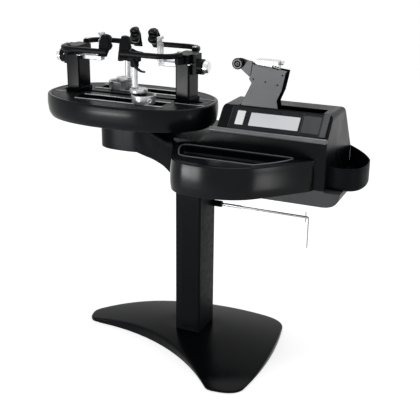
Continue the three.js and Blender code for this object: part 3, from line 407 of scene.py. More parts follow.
EDGE = {
    "support_arm": 0.007, "console_housing": 0.006,
    "belly_cover": 0.004, "display_panel": 0.0008, "display_window": 0.0005, "status_window": 0.0005,
    "rod_collar": 0.0012, "power_inlet": 0.0008, "power_switch": 0.0012, "guide_rail": 0.001,
    "carriage": 0.0015, "screw_bearing": 0.001, "drive_motor": 0.002, "arm_front_plate": 0.0008,
    "arm_back_plate": 0.0008, "roller_bracket": 0.0007, "gripper_fixed_jaw": 0.0008,
    "gripper_moving_jaw": 0.0008, "deck_plate": 0.001, "base_sole": 0.001, "turntable_bearing": 0.001,
    "right_post": 0.0012, "left_post": 0.0012, "right_yoke": 0.0032, "left_yoke": 0.0032,
    "right_support_bar": 0.0008, "left_support_bar": 0.0008, "right_holder": 0.001, "left_holder": 0.001,
}
for node, width in EDGE.items():
    rounded_copy(node, width)
print("rounded copies", len(EDGE))

# %% [markdown]
# The foot, the pan and the tray are one idea: an outline seen from above, and a profile that says how
# far in and how high each ring of the surface lies. Rings of points between the two give a smooth
# skin with soft rims, which a black gloss finish needs, because it mirrors every facet.


# %% Outlines and profiles
def curve_rows(start, rows, steps=14):
    """Points along a chain of quadratic curves: (1-t)^2 a + 2t(1-t) c + t^2 b, or a straight line."""
    points = [np.array([start], float)]
    t = np.linspace(0.0, 1.0, steps + 1)[1:, None]
    here = np.array(start, float)
    for row in rows:
        end = np.array(row[-2:], float)
        middle = np.array(row[:2], float) if len(row) == 4 else 0.5 * (here + end)
        points.append((1 - t) ** 2 * here + 2 * t * (1 - t) * middle + t**2 * end)
        here = end
    return np.vstack(points)


def even_loop(points, count):
    """The closed outline again, as count points at equal steps of its length."""
    closed = np.vstack([points, points[:1]])
    step = np.linalg.norm(np.diff(closed, axis=0), axis=1)
    closed = closed[np.concatenate([[True], step > 1e-7])]
    length = np.concatenate([[0.0], np.cumsum(np.linalg.norm(np.diff(closed, axis=0), axis=1))])
    where = np.linspace(0.0, length[-1], count, endpoint=False)
    return np.stack([np.interp(where, length, closed[:, k]) for k in (0, 1)], axis=1)


def outward(loop):
    """Unit normals of a closed loop that runs against the clock: the tangent turned right."""
    tangent = np.roll(loop, -1, axis=0) - np.roll(loop, 1, axis=0)
    normal = np.stack([tangent[:, 1], -tangent[:, 0]], axis=1)
    return normal / np.linalg.norm(normal, axis=1, keepdims=True)


def rings(loop, profile):
    """Rings[u, v]: the loop moved inwards by profile[u, 0] along its normals, at height profile[u, 1]."""
    normal = outward(loop)
    flat = loop[None] - profile[:, 0, None, None] * normal[None]
    height = np.broadcast_to(profile[:, 1, None, None], (len(profile), len(loop), 1))
    return np.concatenate([flat, height], axis=2)


def arc(centre, radius, start, end, steps=5):
    """Points on a circle from one angle to another, in degrees."""
    angle = np.radians(np.linspace(start, end, steps + 1))
    return np.stack([centre[0] + radius * np.cos(angle), centre[1] + radius * np.sin(angle)], axis=1)


BASE_START = (-0.513, -0.129)
BASE_ROWS = [
    (-0.05, -0.126, 0.2455, -0.562), (0.262, -0.582, 0.2966, -0.576), (0.396, -0.567, 0.41, -0.488),
    (0.455, -0.106, 0.393, 0.275), (0.37, 0.37, 0.276, 0.378), (0.0276, 0.39, -0.251, 0.272),
    (-0.41, 0.205, -0.535, 0.045), (-0.57, 0.0055, -0.567, -0.03), (-0.5586, -0.1277, -0.513, -0.129),
]
BASE_SIZE = np.array([0.725, 0.564])


def base_crown(x, y):
    """Height of the foot: flat under the column, then falling with the power 1.3 of the distance."""
    reach = np.sqrt((x / 0.430) ** 2 + (y / 0.300) ** 2)
    run = np.clip((reach - 0.2326) / 0.7674, 0.0, 1.0)
    return 0.0463 - 0.036 * run**1.3


def make_base():
    """Rings from the floor up the rounded edge and in to the middle: z is a share of the crown."""
    loop = even_loop(curve_rows(BASE_START, BASE_ROWS) * BASE_SIZE, 240)
    inset = np.array([0.0012, 0.0003, 0.0, 0.0, 0.0007, 0.0022, 0.0045, 0.009])
    share = np.array([0.0, 0.25, 0.6, 0.72, 0.86, 0.955, 0.985, 1.0])
    edge = rings(loop, np.stack([inset, np.zeros_like(inset)], axis=1))
    shrink = np.linspace(1.0, 0.0, 22)[1:, None, None] ** 1.1
    middle = np.array([0.02, -0.02, 0.0])
    inner = middle + (edge[-1:] - middle) * shrink
    points = np.concatenate([edge, inner])
    share = np.concatenate([share, np.ones(len(inner))])[:, None]
    foot = 0.0033
    points[..., 2] = foot + (base_crown(points[..., 0], points[..., 1]) - foot) * share
    points[-1, :, :] = points[-1].mean(axis=0)
    floor = points[:1].copy()
    floor[..., :2] = middle[:2]
    return np.concatenate([floor, points])


grid_piece("foot_skin", make_base(), paint, "stand", "gloss_paint", ("base_plate",), 55.0)
print("foot", [round(v, 3) for v in make_base().reshape(-1, 3).max(axis=0)])

# %% [markdown]
# The pan under the racket is a shallow oval bowl, squarer than an ellipse. Its fascia bulges a little,
# turns over a full round rim and drops to the deck. The hub pocket underneath can only be seen from
# below, so the profile runs in there as well and closes on the axis.


# %% Turntable pan
AXIS_X = -0.240


def superellipse(half_length, half_width, count=160, power=2.3):
    """|x/a|^n + |y/b|^n = 1, walked against the clock."""
    t = np.linspace(0.0, 2 * np.pi, count, endpoint=False)
    c, s = np.cos(t), np.sin(t)
    x = half_length * np.sign(c) * np.abs(c) ** (2 / power)
    y = half_width * np.sign(s) * np.abs(s) ** (2 / power)
    return even_loop(np.stack([x, y], axis=1), count)


def make_pan():
    """Insets and heights from the hub pocket out under the bowl, up the fascia, over the rim and in."""
    profile = np.vstack([
        [(0.052, 0.8430), (0.050, 0.8415), (0.046, 0.7845), (0.0430, 0.7832), (0.0125, 0.7832)],
        arc((0.0125, 0.7852), 0.0020, 270.0, 190.0, 3),
        [(0.0078, 0.7895), (0.0052, 0.7950), (0.0032, 0.8020), (0.0018, 0.8110), (0.0008, 0.8210),
         (0.0002, 0.8320), (0.0003, 0.8420), (0.0011, 0.8500)],
        arc((0.0078, 0.8530), 0.0066, 170.0, 90.0, 6),
        arc((0.0114, 0.8553), 0.0043, 84.0, 0.0, 4),
        [(0.0160, 0.8509)],
    ])
    loop = superellipse(0.304, 0.189)
    loop[:, 0] += AXIS_X
    skin = rings(loop, profile)
    centre = np.array([AXIS_X, 0.0, 0.0])
    last = centre + (skin[-1:] - centre) * (0.5, 0.5, 1.0)
    end = np.broadcast_to(centre + (0.0, 0.0, 0.8509), skin[-1:].shape)
    first = centre + (skin[:1] - centre) * (0.5, 0.5, 1.0)
    start = np.broadcast_to(centre + (0.0, 0.0, 0.8430), skin[:1].shape)
    return np.concatenate([start, first, skin, last, end])


grid_piece("pan_skin", make_pan(), housing, "turntable", "gloss_housing", ("turntable_pan",), 50.0)


# %% [markdown]
# Bright strips edge the slots in the deck, in which the clamps and towers slide. The long ones lie a
# little off the middle of their slots, on opposite sides, so that half a turn keeps them alike.


# %% Slot trims on the deck
def strip(x0, x1, y0, y1, z0, z1, edge=0.00012):
    """A flat bar along X: a rounded rectangle in Y and Z, carried from one end to the other."""
    corner = np.array([(y0 + edge, z0), (y1 - edge, z0), (y1, z0 + edge), (y1, z1 - edge),
                       (y1 - edge, z1), (y0 + edge, z1), (y0, z1 - edge), (y0, z0 + edge)])
    ends = np.array([x0, x0 + edge, x1 - edge, x1])
    shrink = np.array([0.97, 1.0, 1.0, 0.97])
    middle = corner.mean(axis=0)
    ring = middle + (corner - middle)[None] * shrink[:, None, None]
    along = np.broadcast_to(ends[:, None, None], (4, len(corner), 1))
    return np.concatenate([along, ring], axis=2)


DECK_TOP = 0.8592
TRIM_REACH, TRIM_SHIFT, TRIM_HALF = 0.162, 0.012, 0.0035
trims = []
for side in (-1, 1):
    middle = AXIS_X - TRIM_SHIFT * side
    for y in (side * 0.1192, side * 0.0545):
        trims.append(strip(middle - TRIM_REACH, middle + TRIM_REACH, y - TRIM_HALF, y + TRIM_HALF,
                           DECK_TOP - 0.0004, DECK_TOP + 0.0022, 0.0009))
    for x0, x1 in ((-0.272, -0.235), (0.182, 0.288)):
        trims.append(strip(AXIS_X + x0, AXIS_X + x1, side * 0.0448 - 0.0016, side * 0.0448 + 0.0016,
                           DECK_TOP - 0.0004, DECK_TOP + 0.0012, 0.0006))
for number, points in enumerate(trims):
    grid_piece(f"slot_trim_{number + 1}", points, satin_ring, "turntable", "chrome", caps=True)
print("slot trims", len(trims))

# %% [markdown]
# The tray is the largest moulding that faces the operator. Its wall flares a little towards the
# bottom, its rim is a rounded bead, and a pale grey bead, a painted highlight, lies on the lip of its recess.
# Two loops with the same number of points, the outer one and the recess, are bridged by rings that slide from
# one to the other.

# %% Tool tray
TRAY_ROWS = [
    (0.021, 0.19, 0.1255, 0.73), (0.17, 0.96, 0.2615, 0.99), (0.523, 1.067, 0.68, 0.793),
    (0.9088, 0.2716, 1.0, 0.0), (0.0, 0.0),
]
RECESS_START = (0.125, 0.038)
RECESS_ROWS = [
    (0.088, 0.038, 0.084, 0.09), (0.08, 0.19, 0.138, 0.48), (0.16, 0.615, 0.21, 0.615), (0.67, 0.606),
    (0.79, 0.37, 0.845, 0.11), (0.86, 0.045, 0.83, 0.038), (0.125, 0.038),
]
TRAY_LEFT, TRAY_LENGTH, TRAY_BACK, TRAY_REACH = -0.038, 0.478, -0.0885, 0.208
TRAY_TOP, TRAY_FOOT = 0.741, 0.642


def tray_loop(start, rows, count, centre):
    """The loop in metres, started at the angle of -X from a centre so that two loops match."""
    share = even_loop(curve_rows(start, rows), 6 * count)
    place = np.stack([TRAY_LEFT + share[:, 0] * TRAY_LENGTH, TRAY_BACK - share[:, 1] * TRAY_REACH], axis=1)
    away = place - centre
    angle = np.unwrap(np.arctan2(away[:, 1], away[:, 0]))
    if angle[-1] < angle[0]:
        place, angle = place[::-1], angle[::-1]
    angle = angle - angle[0]
    start_at = np.arctan2(*(place[0] - centre)[::-1])
    wanted = np.linspace(0.0, 2 * np.pi, count, endpoint=False)
    shifted = (wanted - start_at) % (2 * np.pi)
    order = np.argsort(angle)
    angle, place = angle[order], place[order]
    full = np.concatenate([angle, [2 * np.pi]])
    closed = np.vstack([place, place[:1]])
    return np.stack([np.interp(shifted, full, closed[:, k]) for k in (0, 1)], axis=1)


def make_tray():
    """Outer wall rings, a rounded rim, a bridge to the recess, its lip, wall and floor."""
    centre = np.array([0.145, -0.150])
    count = 360
    outer = tray_loop((0.0, 0.0), TRAY_ROWS, count, centre)
    free = np.clip((TRAY_BACK - outer[:, 1:]) / 0.02, 0.0, 1.0)
    for _ in range(30):
        eased = 0.5 * outer + 0.25 * (np.roll(outer, 1, axis=0) + np.roll(outer, -1, axis=0))
        outer = outer + free * (eased - outer)
    recess = tray_loop(RECESS_START, RECESS_ROWS, count, centre)
    wall = np.vstack([
        [(0.0045, TRAY_FOOT + 0.001), (0.0010, TRAY_FOOT + 0.0003)],
        arc((0.0022, TRAY_FOOT + 0.0022), 0.0022, 225.0, 180.0, 3),
        [(-0.0008, TRAY_FOOT + 0.010), (-0.0018, TRAY_FOOT + 0.020), (-0.0022, TRAY_FOOT + 0.032),
         (-0.0018, TRAY_FOOT + 0.048), (-0.0008, TRAY_FOOT + 0.065), (0.0006, TRAY_FOOT + 0.080),
         (0.0018, TRAY_TOP - 0.006)],
        arc((0.0052, TRAY_TOP - 0.0034), 0.0034, 170.0, 80.0, 5),
        [(0.0085, TRAY_TOP - 0.0011)],
    ])
    skirt = rings(outer, wall)
    skirt[..., 1] = np.minimum(skirt[..., 1], TRAY_BACK)
    lip_loop = rings(recess, np.array([(-0.007, TRAY_TOP - 0.0012), (-0.0035, TRAY_TOP - 0.0002),
                                       (-0.0012, TRAY_TOP - 0.0007), (0.0, TRAY_TOP - 0.0028),
                                       (0.0001, TRAY_TOP - 0.0045), (0.0004, TRAY_TOP - 0.0205),
                                       (0.0007, TRAY_TOP - 0.0230), (0.0022, TRAY_TOP - 0.0275),
                                       (0.006, TRAY_TOP - 0.0298)]))
    share = np.array([0.35, 0.7])[:, None, None]
    bridge = skirt[-1:] * (1 - share) + lip_loop[:1] * share
    bridge[..., 2] = TRAY_TOP - 0.0012
    shrink = np.array([0.6, 0.2, 0.0])[:, None, None]
    middle = np.array([*centre, TRAY_TOP - 0.030])
    floor = middle + (lip_loop[-1:] - middle) * (shrink * (1, 1, 0)) + (0, 0, 0)
    inner = rings(outer, np.array([(0.0085, TRAY_FOOT + 0.006)]))
    inner[..., 1] = np.minimum(inner[..., 1], TRAY_BACK - 0.004)
    under = np.array([*centre, TRAY_TOP - 0.0345])
    ceiling = inner.copy()
    ceiling[..., 2] = under[2]
    close = np.broadcast_to(under, ceiling.shape)
    return np.concatenate([close, ceiling, inner, skirt, bridge, lip_loop, floor])


grid_piece("tray_skin", make_tray(), tray_gloss, "stand", "gloss_housing", ("tool_tray",), 50.0)
# The bead on the recess lip is pale grey: a painted highlight line along the lip.
lip_line = rings(tray_loop(RECESS_START, RECESS_ROWS, 360, np.array([0.145, -0.150])),
                 arc((-0.0030, TRAY_TOP - 0.0006), 0.0024, 190.0, -10.0, 8))
grid_piece("tray_lip_painted_highlight", lip_line, pale_grey_and_painted_highlight, "stand", "gloss_housing", smooth_angle=60.0, close_u=True)
print("tray", make_tray().shape)

# %% [markdown]
# The side bin is a bent wall with a floor, open towards the console. Its section is a thin U turned
# upside down, carried along the wall's path, and the floor is the area that the path encloses.

# %% Side bin
BIN_ROWS = [(0.714, 0.724, 0.952, 0.479), (1.067, 0.269, 0.933, 0.129), (0.81, 0.0, 0.333, 0.0), (0.0, 0.0)]
BIN_START, BIN_FRONT, BIN_REACH, BIN_LENGTH = 0.4703, -0.057, 0.105, 0.286
BIN_FOOT, BIN_TOP = 0.641, 0.715


def open_path(points, count):
    """count points at equal steps along an open path, with their left-hand normals."""
    length = np.concatenate([[0.0], np.cumsum(np.linalg.norm(np.diff(points, axis=0), axis=1))])
    keep = np.concatenate([[True], np.diff(length) > 1e-7])
    where = np.linspace(0.0, length[-1], count)
    path = np.stack([np.interp(where, length[keep], points[keep][:, k]) for k in (0, 1)], axis=1)
    tangent = np.gradient(path, axis=0)
    normal = np.stack([-tangent[:, 1], tangent[:, 0]], axis=1)
    return path, normal / np.linalg.norm(normal, axis=1, keepdims=True)


def make_bin():
    """The wall's section goes down the outside, under, up the inside and over a rounded rim."""
    share = curve_rows((0.0, 1.0), BIN_ROWS, 24)
    place = np.stack([BIN_START + share[:, 0] * BIN_REACH, BIN_FRONT + share[:, 1] * BIN_LENGTH], axis=1)
    path, normal = open_path(place, 120)
    inwards = normal * np.sign(((np.array([BIN_START, 0.05]) - path) * normal).sum(axis=1))[60]
    section = np.vstack([
        arc((0.0018, BIN_TOP - 0.0018), 0.0018, 0.0, 180.0, 6) + (0.0002, 0.0),
        [(0.0, BIN_TOP - 0.02), (0.0, BIN_FOOT + 0.012)],
        arc((0.010, BIN_FOOT + 0.010), 0.010, 180.0, 270.0, 5),
        [(0.016, BIN_FOOT), (0.016, BIN_FOOT + 0.0035)],
        arc((0.010, BIN_FOOT + 0.0105), 0.007, 270.0, 180.0, 4),
        [(0.0036, BIN_FOOT + 0.02)],
    ])
    flat = path[:, None] + section[None, :, :1] * inwards[:, None]
    height = np.broadcast_to(section[None, :, 1:], (len(path), len(section), 1))
    wall = np.concatenate([flat, height], axis=2)
    wall[..., 0] = np.maximum(wall[..., 0], BIN_START)
    edge = path + 0.015 * inwards
    edge[:, 0] = np.maximum(edge[:, 0], BIN_START)
    chord = edge.copy()
    chord[:, 0] = BIN_START
    levels = np.array([BIN_FOOT, BIN_FOOT, BIN_FOOT + 0.0035, BIN_FOOT + 0.0035])
    loop = np.stack([edge, chord, chord, edge], axis=1)
    floor = np.concatenate([loop, np.broadcast_to(levels[None, :, None], (len(edge), 4, 1))], axis=2)
    return wall, floor


bin_wall, bin_floor = make_bin()
grid_piece("bin_skin", bin_wall, matt_black, "stand", "gloss_housing", ("side_bin",), 50.0, caps=True)
grid_piece("bin_floor", bin_floor, matt_black, "stand", "gloss_housing", caps=True)
print("bin", bin_wall.shape)

# %% [markdown]
# Round parts are turned: a profile of radius and height goes once round an axis. Before turning, each
# corner of the profile is swapped for a short curve, because even a machined edge is broken a little.


# %% Turned parts and swept bars
def soft_corners(corners, radius, steps=4):
    """The polyline with each inner corner swapped for a quadratic curve that starts radius before it."""
    corners = np.array(corners, float)
    rows = [corners[:1]]
    t = np.linspace(0.0, 1.0, steps + 1)[:, None]
    for before, here, after in zip(corners[:-2], corners[1:-1], corners[2:]):
        back, ahead = before - here, after - here
        reach = min(radius, 0.45 * np.linalg.norm(back), 0.45 * np.linalg.norm(ahead))
        start = here + reach * back / np.linalg.norm(back)
        end = here + reach * ahead / np.linalg.norm(ahead)
        rows.append((1 - t) ** 2 * start + 2 * t * (1 - t) * here + t**2 * end)
    rows.append(corners[-1:])
    return np.vstack(rows)


def lathe(profile, origin, direction=(0.0, 0.0, 1.0), segments=72):
    """Circles of radius profile[u, 0] round an axis through origin, at profile[u, 1] along it."""
    along = np.array(direction, float) / np.linalg.norm(direction)
    helper = np.array((1.0, 0.0, 0.0) if abs(along[0]) < 0.9 else (0.0, 1.0, 0.0))
    side = np.cross(along, helper)
    side /= np.linalg.norm(side)
    other = np.cross(along, side)
    angle = np.linspace(0.0, 2 * np.pi, segments, endpoint=False)
    circle = np.cos(angle)[:, None] * side + np.sin(angle)[:, None] * other
    return (np.array(origin) + profile[:, 0, None, None] * circle[None]
            + profile[:, 1, None, None] * along)


def smooth_path(points, count):
    """A path through rounded corners: Chaikin's rule cuts each corner at 1/4 and 3/4, four times."""
    path = np.array(points, float)
    for _ in range(4):
        cut = np.stack([0.75 * path[:-1] + 0.25 * path[1:], 0.25 * path[:-1] + 0.75 * path[1:]], axis=1)
        path = np.vstack([path[:1], cut.reshape(-1, path.shape[1]), path[-1:]])
    length = np.concatenate([[0.0], np.cumsum(np.linalg.norm(np.diff(path, axis=0), axis=1))])
    where = np.linspace(0.0, length[-1], count)
    return np.stack([np.interp(where, length, path[:, k]) for k in range(path.shape[1])], axis=1)


def sweep(path, up, half_width, half_height, power=3.0, segments=28, round_ends=True):
    """A superellipse section |a/w|^n + |b/h|^n = 1 carried along a path, ends closed by a quarter round."""
    tangent = np.gradient(path, axis=0)
    tangent /= np.linalg.norm(tangent, axis=1, keepdims=True)
    up = np.broadcast_to(np.array(up, float), path.shape)
    side = np.cross(tangent, up)
    side /= np.linalg.norm(side, axis=1, keepdims=True)
    top = np.cross(side, tangent)
    width = np.broadcast_to(half_width, len(path)).astype(float)
    height = np.broadcast_to(half_height, len(path)).astype(float)
    if round_ends:
        turn = np.radians([0.0, 25.0, 50.0, 70.0, 82.0])
        scale, shift = np.cos(turn), np.sin(turn)
        rows = []
        for end, sign in ((0, -1.0), (-1, 1.0)):
            reach = 0.7 * min(width[end], height[end])
            row = [(path[end] + sign * s * reach * tangent[end], side[end], top[end], width[end] * c,
                    height[end] * c) for c, s in zip(scale, shift)]
            rows.append(row[::-1] if end == 0 else row)
        middle = list(zip(path, side, top, width, height))
        path, side, top, width, height = (np.array(column) for column in zip(*rows[0], *middle, *rows[1]))
    angle = np.linspace(0.0, 2 * np.pi, segments, endpoint=False)
    c, s = np.cos(angle), np.sin(angle)
    a = np.sign(c) * np.abs(c) ** (2 / power)
    b = np.sign(s) * np.abs(s) ** (2 / power)
    return (path[:, None] + (width[:, None] * a)[..., None] * side[:, None]
            + (height[:, None] * b)[..., None] * top[:, None])


def plate_points(corners, thickness, edge=0.0006):
    """A plate on four corners, seen against the clock: it rises along their normal and its rim is eased."""
    corners = np.array(corners, float)
    normal = np.cross(corners[1] - corners[0], corners[3] - corners[0])
    normal /= np.linalg.norm(normal)
    middle = corners.mean(axis=0)
    inwards = (middle - corners) / np.linalg.norm(middle - corners, axis=1, keepdims=True)
    rows = [corners, corners + (thickness - edge) * normal, corners + edge * inwards + thickness * normal]
    return np.stack(rows)


def half_turn(points):
    """The same points turned by 180 degrees about the axis of the turntable."""
    return points * (-1.0, -1.0, 1.0) + (2 * AXIS_X, 0.0, 0.0)


def mirrored(points, across_x, across_y):
    """The points mirrored about the turntable axis in x, in y or in both."""
    scale = np.array([-1.0 if across_x else 1.0, -1.0 if across_y else 1.0, 1.0])
    return points * scale + (2 * AXIS_X if across_x else 0.0, 0.0, 0.0)


# %% [markdown]
# String clamps. Each stands on a satin ring in its deck slot. A smaller disc turns on the ring and
# carries the post, and the black head ends in a narrow nose. The two clamps are the same parts, half
# a turn apart, so every grid is made for the front one and turned for the back one.

# %% String clamps
RING_AT = (-0.148, -0.087, 0.8596)
DISC_AT = (-0.173, -0.075, 0.8880)
POST_AT = (-0.191, -0.066, 0.9028)
ring_profile = soft_corners([(0.0, 0.0), (0.0395, 0.0), (0.0405, 0.0265), (0.0395, 0.028), (0.0365, 0.028),
                             (0.0345, 0.0235), (0.0, 0.0235)], 0.0012)
disc_profile = soft_corners([(0.0, 0.0), (0.0275, 0.0), (0.0300, 0.0035), (0.0300, 0.0110), (0.0275, 0.0145),
                             (0.0185, 0.0145), (0.0175, 0.0135), (0.0, 0.0135)], 0.0012)
post_profile = soft_corners([(0.0, 0.0), (0.0125, 0.0), (0.0125, 0.0035), (0.0100, 0.0045), (0.0100, 0.0660),
                             (0.0092, 0.0670), (0.0, 0.0670)], 0.0008)
guide_points = strip(RING_AT[0] - 0.025, RING_AT[0] + 0.025, -0.1171, -0.0569, 0.8516, 0.8600)
button_side = np.array([0.809, -0.588, 0.0])
button_at = np.array(RING_AT) + 0.0385 * button_side + (0.0, 0.0, 0.0135)
button_profile = soft_corners([(0.0, 0.0), (0.0078, 0.0), (0.0078, 0.0042), (0.0052, 0.0048),
                               (0.0046, 0.0036),
                               (0.0, 0.0036)], 0.0006)
recess_profile = np.array([(0.0, 0.0236), (0.0338, 0.0236), (0.0338, 0.02405), (0.0, 0.02405)])
clamp_rows = [
    ("ring", lathe(ring_profile, RING_AT, segments=96), satin_ring, "{}_clamp", "chrome", "{}_clamp_base"),
    ("guide", guide_points, black_plastic, "{}_clamp", "black_plastic", None),
    ("recess", lathe(recess_profile, RING_AT), black_plastic, "{}_clamp", "black_plastic", None),
    ("button", lathe(button_profile, button_at, button_side), chrome, "{}_clamp", "chrome", None),
    ("disc", lathe(disc_profile, DISC_AT, segments=96), satin_ring, "{}_clamp_turret", "chrome",
     "{}_clamp_swivel"),
    ("tube", lathe(post_profile, POST_AT), pale_metal, "{}_clamp_turret", "chrome", "{}_clamp_post"),
]
for bolt_x, bolt_y in ((-0.162, -0.082), (-0.169, -0.093)):
    bolt = soft_corners([(0.0, 0.0), (0.0036, 0.0), (0.0036, 0.0026), (0.0, 0.0026)], 0.0007)
    clamp_rows.append((f"bolt_{len(clamp_rows)}", lathe(bolt, (bolt_x, bolt_y, 0.9023)), chrome,
                       "{}_clamp_turret", "chrome", None))


def clamp_lever_path():
    """The lever's line in X and Z: it leaves the pin downwards and swings out to its tip."""
    shares = np.array([(0.0, 0.06), (0.06, 0.3), (0.22, 0.62), (0.5, 0.88), (0.8, 1.0), (1.02, 0.985)])
    x = POST_AT[0] + shares[:, 0] * 0.043
    z = 0.9972 - shares[:, 1] * 0.039
    return smooth_path(np.stack([x, np.full_like(x, -0.0784), z], axis=1), 30)


lever_path = clamp_lever_path()
wide = np.interp(np.linspace(0, 1, len(lever_path)), [0.0, 0.35, 0.8, 1.0], [0.0064, 0.0058, 0.0036, 0.0028])
lever_points = sweep(lever_path, (0.0, 1.0, 0.0), wide, 0.0026, 2.6)
clamp_rows.append(("lever", lever_points, black_plastic, "{}_clamp_handle", "black_plastic",
                   "{}_clamp_lever"))


def head_sections():
    """The head's sections along X: height and depth taper from the body to a thin, low nose."""
    x = POST_AT[0] + np.array([-0.0600, -0.0585, -0.052, -0.040, -0.030, -0.022, -0.014, 0.0,
                               0.012, 0.0205, 0.022])
    low = np.array([0.9905, 0.9893, 0.9886, 0.9884, 0.9880, 0.9868, 0.9862, 0.9862, 0.9866, 0.9885, 0.9900])
    high = np.array([0.9945, 0.9960, 0.9968, 0.9975, 0.9995, 1.0030, 1.0052, 1.0052, 1.0046, 1.0015, 0.9990])
    deep = np.array([0.0035, 0.0046, 0.0052, 0.0056, 0.0066, 0.0082, 0.0088, 0.0088, 0.0086, 0.0068, 0.0050])
    angle = np.linspace(0.0, 2 * np.pi, 32, endpoint=False)
    c, s = np.cos(angle), np.sin(angle)
    a, b = (np.sign(v) * np.abs(v) ** 0.5 for v in (c, s))
    y = POST_AT[1] + deep[:, None] * a
    z = 0.5 * (low + high)[:, None] + 0.5 * (high - low)[:, None] * b
    return np.stack([np.broadcast_to(x[:, None], y.shape), y, z], axis=2)


cuff_profile = soft_corners([(0.0, 0.9142), (0.0055, 0.9142), (0.0055, 0.9696), (0.0128, 0.9702),
                             (0.0140, 0.9720), (0.0140, 0.9870), (0.0, 0.9870)], 0.0010)
clamp_rows.append(("cuff", lathe(cuff_profile, (POST_AT[0], POST_AT[1], 0.0)), black_plastic,
                   "{}_clamp_jaws", "black_plastic", "{}_clamp_head"))
clamp_rows.append(("nose", head_sections(), black_plastic, "{}_clamp_jaws", "black_plastic", None))
for side in ("front", "back"):
    for label, points, finish, body, slot, node in clamp_rows:
        closed = label in ("guide", "lever", "nose")
        placed = points if side == "front" else half_turn(points)
        grid_piece(f"{side}_clamp_{label}_skin", placed, finish, body.format(side), slot,
                   (node.format(side),) if node else (), caps=closed)
print("clamp pieces", 2 * len(clamp_rows))

# %% [markdown]
# The racket is held from the sides by four arms. Each arm is a thick bent bar with a soft square
# section, and carries a tall curved bracket with two rubber lobes. The groove between the lobes takes
# the side of the frame. The lobes are one stack of rings: the inner side of each ring moves in and out
# with the height, far out at the lobes and far back at the groove.

# %% Side arms and pads
ARM_FOOT, ARM_HIGH = 1.0101, 0.0176
PIVOT_X = AXIS_X + 0.206


def arm_path():
    """The front right arm from its pivot, out round the elbow and back along the racket."""
    plan = [(PIVOT_X + 0.002, -0.060), (PIVOT_X - 0.001, -0.086), (PIVOT_X - 0.014, -0.104),
            (PIVOT_X - 0.041, -0.116), (PIVOT_X - 0.075, -0.1165), (AXIS_X + 0.026, -0.116)]
    return smooth_path([(x, y, ARM_FOOT + 0.5 * ARM_HIGH) for x, y in plan], 44)


def make_arm():
    """The bar is widest over the pivot and slims towards its tip."""
    share = np.linspace(0.0, 1.0, 44)
    width = np.interp(share, [0.0, 0.12, 0.3, 1.0], [0.0125, 0.0110, 0.0082, 0.0078])
    return sweep(arm_path(), (0.0, 0.0, 1.0), width, 0.5 * ARM_HIGH - 0.0002, 3.2)


def make_pad():
    """Rings from the foot of the pad to its top; lobes reach inwards, the groove lies between them."""
    z = np.linspace(0.0, 1.0, 41)
    outer = -0.1077 + 0.0042 * np.sin(np.pi * z) ** 2
    lobes = np.interp(z, [0.0, 0.06, 0.16, 0.28, 0.40, 0.46, 0.52, 0.60, 0.72, 0.84, 0.94, 1.0],
                      [0.010, 0.0175, 0.0235, 0.0250, 0.0205, 0.0130, 0.0110, 0.0150, 0.0232, 0.0245,
                       0.019, 0.010])
    kernel = np.array([0.25, 0.5, 0.25])
    for _ in range(3):
        lobes[1:-1] = np.convolve(lobes, kernel, "valid")
    half_long = 0.0172 * (1.0 - np.abs(2.0 * z - 1.0) ** 3.2) ** (1 / 2.4) + 0.0008
    angle = np.linspace(0.0, 2 * np.pi, 40, endpoint=False)
    c, s = np.cos(angle), np.sin(angle)
    a, b = np.sign(c) * np.abs(c) ** 0.75, np.sign(s) * np.abs(s) ** 0.8
    x = AXIS_X + 0.035 + half_long[:, None] * a
    y = (outer + 0.5 * lobes)[:, None] + 0.5 * lobes[:, None] * b
    height = 1.0192 + 0.0550 * z
    return np.stack([x, y, np.broadcast_to(height[:, None], x.shape)], axis=2)


def make_bracket():
    """A thin curved plate from under the arm up behind the lobes, narrower at its top."""
    z = np.linspace(0.0, 1.0, 24)
    centre_x = AXIS_X + 0.037
    lean = np.interp(z, [0.0, 0.3, 0.7, 1.0], [-0.1235, -0.1125, -0.1092, -0.1062])
    path = np.stack([np.full_like(z, centre_x), lean, 1.0058 + 0.0640 * z], axis=1)
    width = np.interp(z, [0.0, 0.25, 0.7, 1.0], [0.0165, 0.0195, 0.0180, 0.0100])
    return sweep(path, (0.0, 1.0, 0.0), width, 0.0019, 4.0)


for side in ("right", "left"):
    for place in ("front", "back"):
        flip = (side == "left", place == "back")
        body = f"{side}_{place}_arm"
        grid_piece(body + "_skin", mirrored(make_arm(), *flip), arm_black, body, "black_plastic", (body,),
                   caps=True)
        grid_piece(f"{side}_{place}_lobes", mirrored(make_pad(), *flip), lobe_plastic, body, "black_plastic",
                   (f"{side}_{place}_pad",), 60.0, caps=True)
        grid_piece(body + "_bracket", mirrored(make_bracket(), *flip), matt_black, body, "black_plastic",
                   caps=True)
        cap = soft_corners([(0.0, 0.0), (0.0075, 0.0), (0.0075, 0.0022), (0.0, 0.0034)], 0.001)
        place_at = mirrored(np.array([PIVOT_X, -0.060, ARM_FOOT + ARM_HIGH]), *flip)
        grid_piece(body + "_cap", lathe(cap, place_at), chrome, body, "chrome")
print("arms and pads placed")

# %% [markdown]
# The knobs are polished: a short drum, a ring groove and a domed face, against a black collar. The
# drum turns in place, so it rides on the knob's own body while the collar stays with the yoke. The
# flanged roller and the ring of the gripper are turned in the same way.

